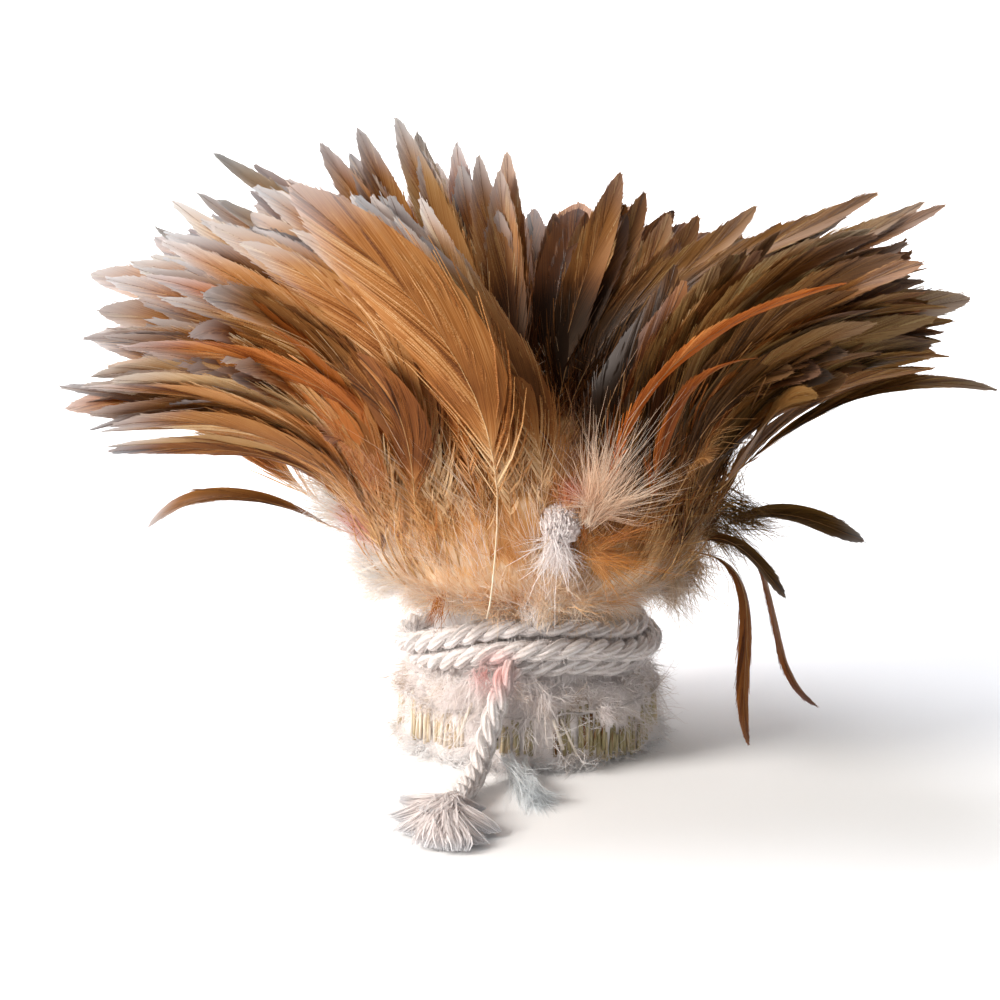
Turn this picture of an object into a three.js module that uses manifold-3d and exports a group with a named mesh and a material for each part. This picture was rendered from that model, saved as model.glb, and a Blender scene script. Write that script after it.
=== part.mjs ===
// A bundle of strung rooster hackle, standing on its cut quills.
// The feathers are sewn side by side by their quills, the strip is rolled up, and a cotton
// rope is wound round the waist of the roll. Above the rope the feathers arch outwards.
// Units are millimetres and degrees. +Z is up, +X is to the right of the front view, and
// the front faces -Y. The origin is the middle of the flat cut face of the quills.
import * as THREE from "three";
import { mergeVertices } from "three/addons/utils/BufferGeometryUtils.js";
import Module from "manifold-3d";

const wasm = await Module();
wasm.setup();

// Driving dimensions
const ROLL_HALF_WIDTH = 31; // of the roll of quills, along X
const ROLL_HALF_DEPTH = 27; // along Y
const ROLL_HEIGHT = 42; // from the cut quills to the top of the rope
const WAIST_SHARE = 0.75; // the rope pulls the roll in to this share of its width
const ROPE_DIAMETER = 5;
const THREAD_DIAMETER = 1;
const GAP = 0.35; // between pieces that touch
const BLADE_THICKNESS = 1.3; // of a feather's vane at its shaft

const UP = new THREE.Vector3(0, 0, 1);
const DEPTH_SHARE = ROLL_HALF_DEPTH / ROLL_HALF_WIDTH;
const WAIST = ROLL_HALF_WIDTH * WAIST_SHARE;
const ROPE_RADIUS = ROPE_DIAMETER / 2;

const radians = THREE.MathUtils.degToRad;

// Finishes
const finish = (color, roughness) =>
  new THREE.MeshStandardMaterial({ color, roughness, metalness: 0 });
const HACKLE_BROWN = finish(0xa8703f, 0.5);
const HACKLE_TAN = finish(0xc19a68, 0.5);
const HACKLE_DARK = finish(0x7a4a27, 0.55);
const DOWN_CREAM = finish(0xd9bf98, 0.95);
const DOWN_WHITE = finish(0xe6e2da, 0.95);
const QUILL_HORN = finish(0xcdc09a, 0.5);
const COTTON = finish(0xe4dfd8, 0.9);

// The roll of cut quills: an oval drum, ridged by the quills, that the rope pulls in.
const QUILL_RIDGES = 34;
const RIDGE_DEPTH = 0.9;
const ROLL_PROFILE = [
  // share of the half width, height
  [0, 0],
  [0.965, 0],
  [1, 1.6],
  [1, 12.5],
  [0.975, 15.5],
  [WAIST_SHARE, 18.4],
  [WAIST_SHARE, ROLL_HEIGHT],
  [0, ROLL_HEIGHT],
];
const RIDGES_TOP = 17;

// The stitching that strings the quills together, as one thread round the roll.
const STITCH_HEIGHT = 14.2;
const THREAD_SIDES = 5;
const THREAD_STEPS = 44;
const THREAD_CLEARANCE = 0.45; // between the thread and the ridges

// The rope's turns round the waist, unrolled: azimuth, height, and how far the rope stands
// off the waist. It begins behind the tail. At the front the turns arch up, and each climbs
// over the next; at the right and the back the middle one stands out between the others.
const ROPE_ROUTE = [
  [-97, 25.2, 0],
  [-65, 25.3, 0],
  [-20, 21.4, 0],
  [50, 21.2, 0],
  [150, 21.2, 0],
  [190, 21.7, 0],
  [220, 24.4, 0.3],
  [243, 27.6, 1.4],
  [262, 29.6, 2.8],
  [278, 30.2, 3.3],
  [296, 29.7, 3.4],
  [340, 25.7, 3.4],
  [410, 25.3, 3.5],
  [510, 25.3, 3.5],
  [550, 25.8, 3.4],
  [580, 29.8, 2.4],
  [603, 33.3, 0.8],
  [620, 35.1, 0.2],
  [636, 35.4, 0],
  [656, 34.4, 0],
  [700, 30.2, 0],
  [770, 29.5, 0],
];
const ROPE_SIDES = 8;
const ROPE_STEPS = 72;

// The rope's free tail, down the front of the roll and along the surface it stands on.
const TAIL_ROUTE = [
  [-5.5, -28.5, 24.5],
  [-6.8, -29.9, 20],
  [-8.2, -30.4, 15.5],
  [-9.6, -31.6, 11],
  [-11, -34.2, 6.9],
  [-12.4, -38.2, 4],
  [-14, -43.2, 2.75],
  [-15.5, -48.6, 2.6],
  [-17, -54, 2.6],
];
const TAIL_STEPS = 20;

// The frayed end of the tail: five locks of loose yarn that fan out on the surface.
const FRAY_HEART = [-17.2, -54.6, 2.7];
const FRAY_TIPS = [
  // x, y, z, width
  [-29.5, -61, 1.2, 7],
  [-28.5, -70.5, 1.1, 8.5],
  [-20, -79, 1.1, 9],
  [-12.5, -76, 1.2, 7],
  [-8, -72, 1.4, 5],
];
const FRAY_THICKNESS = 2.4;
const FRAY_STEPS = 6;
const FRAY_LEAVING = new THREE.Vector3(-0.2, -1, 0).normalize();
const FRAY_BULGE = 2.6; // how far past its heart the fray is thickest

// The rope's other end, which stands up in front of the down with a brushed-out head.
const UPPER_END_ROUTE = [
  [-1.6, -27.2, 40.4],
  [2.4, -29, 41.6],
  [4.8, -32, 46],
  [5.6, -37, 54.5],
  [6.8, -41.4, 63.6],
];
const UPPER_END_SHARE = 0.85; // of the rope's own radius
const UPPER_END_STEPS = 8;
const BRUSH_RADIUS = 4.8;
const BRUSH_DEPTH_SHARE = 0.8;
const BRUSH_CENTRE = [7.2, -42.8, 66.2];

// The down collar: the fluff at the feet of the feathers, which swells over the rope.
const COLLAR_PROFILE = [
  // radius along X, height
  [0, ROLL_HEIGHT + GAP],
  [25.5, ROLL_HEIGHT + GAP],
  [36, 43.4],
  [41, 48.5],
  [44.5, 56],
  [47.3, 64],
  [48.5, 71],
  [45, 76],
  [36, 78],
  [20, 75],
  [0, 72],
];
const COLLAR_LOBES = 13;
const COLLAR_LOBE_DEPTH = 0.035;
const COLLAR_TWIST = 0.3; // radians of the lobes per mm of height
const COLLAR_SEGMENTS = 52;

// The layers of the rolled strip, from the outside in: where their feathers come out of
// the collar (radius along X, height), and how far from upright they leave it.
const LAYERS = {
  outer: { foot: [47.8, 56], lean: 58 },
  middle: { foot: [50.4, 68], lean: 46 },
  inner: { foot: [39, 79], lean: 30 },
};

// Each feather: where its tip is, how far the tip points up (or droops, if negative) and the
// width of its vane with the barbs spread. Where they aren't its layer's, it also gives the
// azimuth of its foot, the foot's place on the collar and how far from upright it leaves.
const FEATHERS = {
  outer: [
    { tip: [-90, -14, 57], pitch: -48, width: 11, azimuth: 196 },
    { tip: [-96, 12, 78], pitch: -14, width: 13 },
    { tip: [-70, 46, 70], pitch: -22, width: 17 },
    { tip: [-28, 78, 68], pitch: -20, width: 18 },
    { tip: [16, 84, 64], pitch: -24, width: 18 },
    { tip: [58, 58, 60], pitch: -26, width: 17 },
    { tip: [71, 4, 6], pitch: -32, width: 8, azimuth: 4, foot: [43.8, 50.5], lean: 92 },
    { tip: [79, -19, 55], pitch: -20, width: 14, azimuth: -14 },
    { tip: [60, -28, 44], pitch: -52, width: 10, azimuth: -33 },
    { tip: [52, -30, 8], pitch: -62, width: 9, azimuth: -21, foot: [43.8, 50.5], lean: 92 },
  ],
  middle: [
    { tip: [-108, -18, 87], pitch: -8, width: 13 },
    { tip: [-105, 12, 97], pitch: 5, width: 18 },
    { tip: [-88, 40, 98], pitch: 8, width: 19 },
    { tip: [-52, 68, 96], pitch: 10, width: 20 },
    { tip: [-8, 82, 94], pitch: 8, width: 20 },
    { tip: [38, 74, 92], pitch: 5, width: 20 },
    { tip: [80, 42, 90], pitch: 5, width: 19 },
    { tip: [110.5, -8, 89], pitch: -12, width: 14 },
    { tip: [66, -34, 94], pitch: -5, width: 19 },
    { tip: [41, -50, 83], pitch: -12, width: 15 },
    { tip: [-46, -50, 88], pitch: -5, width: 19 },
  ],
  inner: [
    { tip: [-100, -16, 110], pitch: 12, width: 18 },
    { tip: [-105, 14, 112], pitch: 10, width: 19 },
    { tip: [-92, 42, 115], pitch: 20, width: 18 },
    { tip: [-64, 65, 117], pitch: 25, width: 18 },
    { tip: [-28, 78, 120], pitch: 25, width: 20 },
    { tip: [14, 80, 116], pitch: 25, width: 20 },
    { tip: [54, 67, 111], pitch: 22, width: 20 },
    { tip: [86, 42, 112], pitch: 22, width: 19 },
    { tip: [103.5, -8, 111], pitch: 12, width: 19 },
    { tip: [89.5, -31, 124.5], pitch: 20, width: 14 },
    { tip: [71.5, -42, 122.5], pitch: 12, width: 12, azimuth: -69, foot: [51, 71], lean: 5 },
    { tip: [51, -50, 107], pitch: 8, width: 14, azimuth: -57, foot: [51.5, 69.5], lean: 7 },
    { tip: [-39, -37, 105], pitch: 46, width: 14, azimuth: 239, foot: [51, 69], lean: 3 },
    { tip: [-54, -36, 143.5], pitch: 40, width: 21, azimuth: 262, foot: [51.5, 70], lean: 4 },
    { tip: [-74, -36, 118], pitch: 15, width: 20 },
  ],
};

// The heart of the bundle: tufts of inner feathers, fused at the foot they share. They stand
// by turns in an outer and an inner ring.
const TUFT = { feet: [[23, 77.6], [12, 76]], lean: 16, width: 9, roll: 34 };
const TUFTS = [
  // the tips of a tuft, in the order of their azimuths
  { tips: [[97, -8, 133.5], [93, 0, 132.5]], pitch: 31 },
  { tips: [[83, 9, 133], [75, 9, 127]], pitch: 28 },
  { tips: [[68.5, 31, 120.5], [62, 34, 120.5]], pitch: 46 },
  { tips: [[55.7, 32, 125], [49, 35, 118]], pitch: 41 },
  { tips: [[42.5, 50, 119], [35.5, 52, 119]], pitch: 52 },
  { tips: [[29, 44, 126], [23, 44, 131]], pitch: 53 },
  { tips: [[15, 58, 118], [7, 58, 118]], pitch: 62 },
  { tips: [[-5, 45, 136], [-12, 45, 135]], pitch: 66 },
  { tips: [[-17.5, 51, 137], [-22.5, 51, 132]], pitch: 64 },
  { tips: [[-27, 38, 142], [-32, 37, 146]], pitch: 62 },
  { tips: [[-41.5, 39, 143], [-50.4, 35, 140]], pitch: 52 },
  { tips: [[-66, 23, 137], [-79, 18, 131]], pitch: 38 },
  { tips: [[-88, 2, 126], [-73, -10, 146]], pitch: 36 },
];

// The feathers packed between the layers: two crowns with a rim of tips. The lower crown
// is between the middle and the inner layer, the upper one between that and the heart.
const CROWNS = {
  lower: {
    foot: [44.5, 77.4],
    lean: 40,
    pitch: 0,
    rim: [
      [98, 2, 100],
      [80, 38, 101],
      [50, 64, 101],
      [8, 76, 104],
      [-38, 70, 106],
      [-78, 46, 106],
      [-98, 13, 104],
      [-92, -18, 99],
      [-60, -34, 100],
      [-28, -33, 93],
      [12, -31, 86],
      [45, -32, 93],
      [78, -24, 102],
    ],
  },
  upper: {
    foot: [30.5, 78.4],
    lean: 24,
    pitch: 24,
    rim: [
      [92, -2, 121],
      [80, 30, 117],
      [62, 53, 113],
      [32, 68, 114],
      [2, 71, 117],
      [-28, 66, 122],
      [-52, 52, 126],
      [-76, 32, 124],
      [-88, 2, 119],
      [-74, -12, 124],
      [-42, -20, 122],
      [-12, -33, 100],
      [16, -33, 88],
      [40, -24, 102],
      [70, -10, 117],
    ],
  },
};
const CROWN_TIPS = 32;
const CROWN_VALLEY = 0.84; // of the way to a tip, between two tips
const CROWN_THICKNESS = 2;
const CROWN_SECTION = 10;

// Small plumes: where each leaves the bundle, its tip, and its width.
const TUFT_PLUME = { foot: [16.5, -44.5, 60], tip: [24, -46.5, 84], width: 14 };
const LOOSE_PLUME = { foot: [-2, -31, 1.1], tip: [2.5, -54.5, 0.9], width: 9 };
const PLUME_THICKNESS = 1.4;

const BLADE_STEPS = 10;
const TUFT_STEPS = 7;
const BLADE_SIDES = 4;
const BLADE_CAMBER = 0.16; // how far a vane's edges fold back, as a share of its width
const FLANK_ROLL = 38; // how far the vanes on the flanks turn to face the front

const pointOf = (xyz) => new THREE.Vector3(...xyz);

// The direction from the axis at an azimuth, which runs anticlockwise from +X.
function outwardAt(azimuth) {
  return new THREE.Vector3(Math.cos(azimuth), Math.sin(azimuth), 0);
}

// A point on the oval of a radius along X, at a height.
function onOval(azimuth, radius, height) {
  const out = outwardAt(azimuth).multiplyScalar(radius);
  return new THREE.Vector3(out.x, out.y * DEPTH_SHARE, height);
}

// The line of a shaft: it leaves its foot nearly upright and arches over to its tip.
const RISE_SHARE = 0.42;
const REACH_SHARE = 0.36;
function shaftLine(foot, outward, lean, tip, pitch) {
  const chord = tip.distanceTo(foot);
  const level = tip.clone().sub(foot).setZ(0).normalize();
  const leaving = outward
    .clone()
    .multiplyScalar(Math.sin(radians(lean)))
    .addScaledVector(UP, Math.cos(radians(lean)));
  const arriving = level
    .multiplyScalar(Math.cos(radians(pitch)))
    .addScaledVector(UP, Math.sin(radians(pitch)));
  return new THREE.CubicBezierCurve3(
    foot,
    foot.clone().addScaledVector(leaving, RISE_SHARE * chord),
    tip.clone().addScaledVector(arriving, -REACH_SHARE * chord),
    tip,
  );
}

// Frames along a line, carried without twist from a first outward normal.
function framesAlong(line, steps, outward) {
  const frames = [];
  const normal = outward.clone();
  let before = line.getTangentAt(0);
  normal.addScaledVector(before, -normal.dot(before)).normalize();
  for (let i = 0; i <= steps; i += 1) {
    const tangent = line.getTangentAt(i / steps);
    normal.applyQuaternion(
      new THREE.Quaternion().setFromUnitVectors(before, tangent),
    );
    before = tangent;
    frames.push({
      point: line.getPointAt(i / steps),
      tangent,
      normal: normal.clone(),
    });
  }
  return frames;
}

// The half width of a vane at t from foot to tip: slender at the foot, widest past the
// middle, and drawn out to a point.
const WIDEST_AT = 0.45;
const TAPER = 0.75;
const FOOT_SHARE = 0.5; // of the vane's width, where it comes out of the collar
function vaneHalfWidth(t, width) {
  const rise = TAPER * (WIDEST_AT / (1 - WIDEST_AT));
  const shape = (s) => s ** rise * (1 - s) ** TAPER;
  const vane = shape(t) / shape(WIDEST_AT);
  return 0.5 * width * Math.max(vane, FOOT_SHARE * (1 - t));
}

// A feather as one blade: a cone whose rings are laid across the frames of its shaft,
// folded back a little on both sides of the shaft.
function bladeGeometry(frames, width, thickness, roll) {
  const steps = frames.length - 1;
  const blade = new THREE.CylinderGeometry(0, 1, 1, BLADE_SIDES, steps);
  const position = blade.getAttribute("position");
  for (let i = 0; i < position.count; i += 1) {
    const step = Math.round((position.getY(i) + 0.5) * steps);
    const share = 1 - step / steps;
    const across = share > 0 ? position.getX(i) / share : 0;
    const through = share > 0 ? position.getZ(i) / share : 0;
    const { point, tangent, normal } = frames[step];
    const half = vaneHalfWidth(step / steps, width);
    const turned = normal.clone().applyAxisAngle(tangent, roll * (step / steps));
    const side = new THREE.Vector3().crossVectors(tangent, turned);
    const depth =
      through * 0.5 * thickness * Math.min(1, 2.5 * share) -
      BLADE_CAMBER * half * across * across;
    const at = point
      .clone()
      .addScaledVector(side, across * half)
      .addScaledVector(turned, depth);
    position.setXYZ(i, at.x, at.y, at.z);
  }
  return blade;
}

// A closed geometry as a solid that can be joined.
function solidOf(geometry) {
  const bare = geometry.clone();
  bare.deleteAttribute("normal");
  bare.deleteAttribute("uv");
  const merged = mergeVertices(bare, 1e-3);
  return new wasm.Manifold(
    new wasm.Mesh({
      numProp: 3,
      vertProperties: merged.getAttribute("position").array,
      triVerts: new Uint32Array(merged.index.array),
    }),
  );
}

function geometryOf(solid) {
  const mesh = solid.getMesh();
  return new THREE.BufferGeometry()
    .setAttribute(
      "position",
      new THREE.BufferAttribute(new Float32Array(mesh.vertProperties), 3),
    )
    .setIndex(new THREE.BufferAttribute(mesh.triVerts, 1));
}

const joined = (geometries) =>
  geometryOf(geometries.map(solidOf).reduce((whole, next) => whole.add(next)));

// A profile of [radius, height] turned about Z and made oval.
function ovalLathe(profile, segments) {
  const points = profile.map(([radius, height]) => new THREE.Vector2(radius, height));
  return new THREE.LatheGeometry(points, segments)
    .rotateX(Math.PI / 2)
    .scale(1, DEPTH_SHARE, 1);
}

// A round bar of the given radius along a line.
function bar(line, radius, sides, steps) {
  const section = new THREE.Shape(
    Array.from({ length: sides }, (_, i) => {
      const turn = ((i + 0.5) / sides) * 2 * Math.PI;
      return new THREE.Vector2(radius * Math.cos(turn), radius * Math.sin(turn));
    }),
  );
  return new THREE.ExtrudeGeometry(section, {
    steps,
    bevelEnabled: false,
    extrudePath: line,
  });
}

function quillRoll() {
  const profile = ROLL_PROFILE.map(([share, height]) => [
    share * ROLL_HALF_WIDTH,
    height,
  ]);
  const roll = ovalLathe(profile, 2 * QUILL_RIDGES);
  const position = roll.getAttribute("position");
  for (let i = 0; i < position.count; i += 1) {
    const [x, y] = [position.getX(i), position.getY(i) / DEPTH_SHARE];
    const radius = Math.hypot(x, y);
    if (radius < 1 || position.getZ(i) > RIDGES_TOP) continue;
    const ridge = Math.round((Math.atan2(y, x) / Math.PI) * QUILL_RIDGES);
    const share = ridge % 2 === 0 ? 1 : 1 - RIDGE_DEPTH / radius;
    position.setX(i, position.getX(i) * share);
    position.setY(i, position.getY(i) * share);
  }
  return roll;
}

function stitchThread() {
  const thickness = THREAD_DIAMETER / 2;
  const radius = ROLL_HALF_WIDTH + THREAD_CLEARANCE + thickness;
  const depth = ROLL_HALF_DEPTH + THREAD_CLEARANCE + thickness;
  return new THREE.TorusGeometry(radius, thickness, THREAD_SIDES, THREAD_STEPS)
    .scale(1, depth / radius, 1)
    .translate(0, 0, STITCH_HEIGHT);
}

function ropeTurns() {
  const unrolled = new THREE.CatmullRomCurve3(ROPE_ROUTE.map(pointOf));
  const radius = WAIST + (ROPE_RADIUS + GAP) / DEPTH_SHARE;
  const points = unrolled
    .getSpacedPoints(ROPE_STEPS)
    .map(({ x, y, z }) => onOval(radians(x), radius + z, y));
  return bar(
    new THREE.CatmullRomCurve3(points),
    ROPE_RADIUS,
    ROPE_SIDES,
    ROPE_STEPS,
  );
}

function ropeTail() {
  const line = new THREE.CatmullRomCurve3(TAIL_ROUTE.map(pointOf));
  return bar(line, ROPE_RADIUS, ROPE_SIDES, TAIL_STEPS);
}

function fray() {
  const heart = pointOf(FRAY_HEART);
  const locks = FRAY_TIPS.map(([x, y, z, width]) => {
    const tip = new THREE.Vector3(x, y, z);
    const line = new THREE.QuadraticBezierCurve3(
      heart,
      heart.clone().addScaledVector(FRAY_LEAVING, 0.5 * heart.distanceTo(tip)),
      tip,
    );
    const frames = framesAlong(line, FRAY_STEPS, UP);
    return bladeGeometry(frames, width, FRAY_THICKNESS, 0);
  });
  const thickest = heart.clone().addScaledVector(FRAY_LEAVING, FRAY_BULGE);
  const bulge = new THREE.SphereGeometry(FRAY_THICKNESS, 8, 6)
    .translate(...thickest.toArray());
  return joined([bulge, ...locks]);
}

// The rope's other end, or with a margin the pocket that it needs in the collar.
function upperEnd(margin = 0) {
  const route = UPPER_END_ROUTE.map(pointOf);
  route[0].z -= margin;
  const line = new THREE.CatmullRomCurve3(route);
  const head = new THREE.SphereGeometry(BRUSH_RADIUS + margin, 12, 8)
    .scale(1, BRUSH_DEPTH_SHARE, 1)
    .translate(...BRUSH_CENTRE);
  const radius = UPPER_END_SHARE * ROPE_RADIUS + margin;
  return joined([bar(line, radius, ROPE_SIDES, UPPER_END_STEPS), head]);
}

// The collar, with lobes that wind up it and a pocket for the rope's upper end.
function downCollar() {
  const collar = ovalLathe(COLLAR_PROFILE, COLLAR_SEGMENTS);
  const position = collar.getAttribute("position");
  for (let i = 0; i < position.count; i += 1) {
    const [x, y, z] = [position.getX(i), position.getY(i), position.getZ(i)];
    if (Math.hypot(x, y) < 1 || z < ROLL_HEIGHT + 2 * GAP) continue;
    const lobe = Math.cos(COLLAR_LOBES * Math.atan2(y, x) + COLLAR_TWIST * z);
    const share = 1 + COLLAR_LOBE_DEPTH * lobe;
    position.setXYZ(i, x * share, y * share, z);
  }
  return geometryOf(solidOf(collar).subtract(solidOf(upperEnd(GAP))));
}

// A feather of one of the layers.
function feather(row, layer) {
  const { tip, pitch, width, azimuth, foot, lean } = { ...layer, ...row };
  const turn = azimuth === undefined ? Math.atan2(tip[1], tip[0]) : radians(azimuth);
  const outward = outwardAt(turn);
  const line = shaftLine(onOval(turn, ...foot), outward, lean, pointOf(tip), pitch);
  const roll = radians(FLANK_ROLL) * Math.cos(turn);
  const frames = framesAlong(line, BLADE_STEPS, outward);
  return bladeGeometry(frames, width, BLADE_THICKNESS, roll);
}

// Feathers that leave the down at one foot and are fused there.
function tuft({ tips, pitch }, ring) {
  const centre = tips.map(pointOf).reduce((sum, tip) => sum.add(tip));
  const middle = Math.atan2(centre.y, centre.x);
  const foot = onOval(middle, ...TUFT.feet[ring]);
  const blades = tips.map((tip) => {
    const line = shaftLine(foot, outwardAt(middle), TUFT.lean, pointOf(tip), pitch);
    const frames = framesAlong(line, TUFT_STEPS, outwardAt(middle));
    const roll = radians(TUFT.roll) * Math.sign(Math.cos(middle));
    return bladeGeometry(frames, TUFT.width, BLADE_THICKNESS, roll);
  });
  return joined(blades);
}

// A crown of packed feathers: the closed grid of a torus, laid up one side of the shafts'
// lines and down the other, with a tip at every second line.
function crown({ foot, lean, pitch, rim }) {
  const tips = new THREE.CatmullRomCurve3(rim.map(pointOf), true);
  const columns = 2 * CROWN_TIPS;
  const grid = new THREE.TorusGeometry(2, 1, CROWN_SECTION, columns);
  const lines = Array.from({ length: columns }, (_, column) => {
    const tip = tips.getPointAt(column / columns);
    const azimuth = Math.atan2(tip.y, tip.x);
    const outward = outwardAt(azimuth);
    const line = shaftLine(onOval(azimuth, ...foot), outward, lean, tip, pitch);
    return { line, outward, reach: column % 2 === 0 ? 1 : CROWN_VALLEY };
  });
  const position = grid.getAttribute("position");
  for (let i = 0; i < position.count; i += 1) {
    const { line, outward, reach } = lines[(i % (columns + 1)) % columns];
    const round = Math.floor(i / (columns + 1)) / CROWN_SECTION;
    const along = round <= 0.5 ? 2 * round : 2 - 2 * round;
    const point = line.getPoint(along * reach);
    const tangent = line.getTangent(along * reach);
    const normal = outward.clone().addScaledVector(tangent, -outward.dot(tangent));
    const swell = Math.sqrt(4 * along * (1 - along)) * Math.sign(0.5 - round);
    point.addScaledVector(normal.normalize(), 0.5 * CROWN_THICKNESS * swell);
    position.setXYZ(i, point.x, point.y, point.z);
  }
  return grid;
}

function plume({ foot, tip, width }, normal) {
  const line = new THREE.LineCurve3(pointOf(foot), pointOf(tip));
  return bladeGeometry(framesAlong(line, 7, normal), width, PLUME_THICKNESS, 0);
}

const bundle = new THREE.Group();
function add(name, geometry, material) {
  const mesh = new THREE.Mesh(geometry, material);
  mesh.name = name;
  bundle.add(mesh);
}
const numbered = (name, index) => `${name}_${String(index + 1).padStart(2, "0")}`;

add("quill_roll", quillRoll(), QUILL_HORN);
add("stitch_thread", stitchThread(), COTTON);
add("tie_turns", ropeTurns(), COTTON);
add("tie_tail", ropeTail(), COTTON);
add("tie_tail_fray", fray(), COTTON);
add("tie_upper_end", upperEnd(), COTTON);
add("down_collar", downCollar(), DOWN_CREAM);
FEATHERS.outer.forEach((row, i) =>
  add(numbered("outer_hackle", i), feather(row, LAYERS.outer), HACKLE_DARK),
);
FEATHERS.middle.forEach((row, i) =>
  add(numbered("middle_hackle", i), feather(row, LAYERS.middle), HACKLE_BROWN),
);
FEATHERS.inner.forEach((row, i) =>
  add(numbered("inner_hackle", i), feather(row, LAYERS.inner), HACKLE_TAN),
);
TUFTS.forEach((row, i) =>
  add(numbered("heart_tuft", i), tuft(row, i % 2), HACKLE_BROWN),
);
add("packed_crown_lower", crown(CROWNS.lower), HACKLE_BROWN);
add("packed_crown_upper", crown(CROWNS.upper), HACKLE_DARK);
add("tuft_plume", plume(TUFT_PLUME, new THREE.Vector3(0, -1, 0)), DOWN_CREAM);
add("loose_plume", plume(LOOSE_PLUME, UP), DOWN_WHITE);

export default bundle;
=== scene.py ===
"""A bundle of strung rooster hackle that stands on its cut quills.

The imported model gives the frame. Here every feather gets its barbs, the down its locks, the
rope its strands and the quills their cut ends. Sizes are in millimetres unless a name says
otherwise, and meshes are written in metres. The front of the bundle faces -Y.
"""

from __future__ import annotations

import logging
import math
from collections.abc import Iterable, Sequence
from dataclasses import dataclass, fields, replace
from enum import Enum
from typing import TypeVar

import bmesh
import bpy
import numpy as np
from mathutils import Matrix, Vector


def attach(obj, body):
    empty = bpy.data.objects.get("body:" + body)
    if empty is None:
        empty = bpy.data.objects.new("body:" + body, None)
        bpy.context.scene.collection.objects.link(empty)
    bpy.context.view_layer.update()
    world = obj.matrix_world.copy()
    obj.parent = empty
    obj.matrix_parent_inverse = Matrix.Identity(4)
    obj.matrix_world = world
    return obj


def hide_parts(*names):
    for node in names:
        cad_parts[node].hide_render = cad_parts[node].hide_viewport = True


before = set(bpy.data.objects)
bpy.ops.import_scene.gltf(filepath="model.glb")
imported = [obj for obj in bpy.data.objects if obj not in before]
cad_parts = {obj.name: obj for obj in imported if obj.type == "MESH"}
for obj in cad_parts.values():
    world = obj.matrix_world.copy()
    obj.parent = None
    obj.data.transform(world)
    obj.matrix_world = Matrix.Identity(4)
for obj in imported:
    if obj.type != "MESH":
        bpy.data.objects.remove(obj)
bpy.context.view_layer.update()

log = logging.getLogger("hackle")

Array = np.ndarray
Dice = np.random.Generator
Material = bpy.types.Material
Mesh = bpy.types.Mesh
Shape = bmesh.types.BMesh
Socket = bpy.types.NodeSocket
Thing = bpy.types.Object
Pair = tuple[float, float]
Point = tuple[float, float, float]
Stops = tuple[tuple[float, str], ...]
Inputs = dict[int | str, object]
Rows = TypeVar("Rows")

MM = 0.001
BODY = "root"
SEED = 366

# Driving dimensions, as in the part's source
ROLL_HALF_WIDTH = 31.0
ROLL_HALF_DEPTH = 27.0
ROLL_HEIGHT = 42.0
WAIST_SHARE = 0.75
ROPE_DIAMETER = 5.0
THREAD_DIAMETER = 1.0
GAP = 0.35
WAIST = ROLL_HALF_WIDTH * WAIST_SHARE
DEPTH_SHARE = ROLL_HALF_DEPTH / ROLL_HALF_WIDTH
ROPE_RADIUS = ROPE_DIAMETER / 2

FLOOR_GAP = 0.15
FULL_TURN = 2 * math.pi
FRONT = np.array([0.0, -1.0, 0.0])
UP = np.array([0.0, 0.0, 1.0])


def generator(name: str) -> Dice:
    """Gives the random numbers of one piece, which its name alone decides."""
    return np.random.default_rng([SEED, *name.encode()])


def unit(vectors: Array) -> Array:
    """Scales vectors along the last axis to length one."""
    length = np.linalg.norm(vectors, axis=-1, keepdims=True)
    return vectors / np.maximum(length, 1e-9)


def smooth(low: float, high: float, value: Array) -> Array:
    """Eases from 0 at low to 1 at high."""
    share = np.clip((value - low) / (high - low), 0.0, 1.0)
    return share * share * (3.0 - 2.0 * share)


def picked(rows: Rows, chosen: Array) -> Rows:
    """Picks some rows of a record of arrays, and of the records that it holds.

    Args:
        rows: The record, a dataclass with one row in each array for each thing.
        chosen: The numbers of the rows.

    Returns:
        A record of the same kind.
    """
    changes = {}
    for each in fields(rows):
        value = getattr(rows, each.name)
        if isinstance(value, Array):
            changes[each.name] = value[chosen]
        elif isinstance(value, Colours):
            changes[each.name] = picked(value, chosen)
    return replace(rows, **changes)


def aligned(values: Array, other: Array) -> Array:
    """Adds axes to values, one a row, until they go with an array of more axes."""
    return values.reshape(-1, *[1] * (other.ndim - 1))


def mixed(start: Array | float, end: Array | float, share: Array) -> Array:
    """Goes from start to end with share."""
    return start + (end - start) * share


def outward_at(azimuth: Array | float) -> Array:
    """Gives the level direction from the axis at an azimuth, in radians from +X."""
    azimuth = np.asarray(azimuth, float)
    return np.stack([np.cos(azimuth), np.sin(azimuth), np.zeros_like(azimuth)], -1)


def on_oval(azimuth: Array | float, radius: Array | float, height: Array | float) -> Array:
    """Gives points on the oval of a radius along X, at a height.

    Args:
        azimuth: Radians from +X.
        radius: The oval's half width along X.
        height: Height above the surface that the bundle stands on.

    Returns:
        The points, with X, Y and Z along the last axis.
    """
    azimuth, radius, height = np.broadcast_arrays(azimuth, radius, height)
    across, deep = radius * np.cos(azimuth), radius * np.sin(azimuth) * DEPTH_SHARE
    return np.stack([across, deep, height], -1).astype(float)


def rgb(code: str) -> tuple[float, float, float, float]:
    """Turns a colour code into linear light.

    Args:
        code: The code, such as C8A06E.

    Returns:
        Red, green, blue and a full alpha.
    """
    values = (int(code[i : i + 2], 16) / 255 for i in (0, 2, 4))
    red, green, blue = (v / 12.92 if v <= 0.04045 else ((v + 0.055) / 1.055) ** 2.4 for v in values)
    return (red, green, blue, 1.0)


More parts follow.
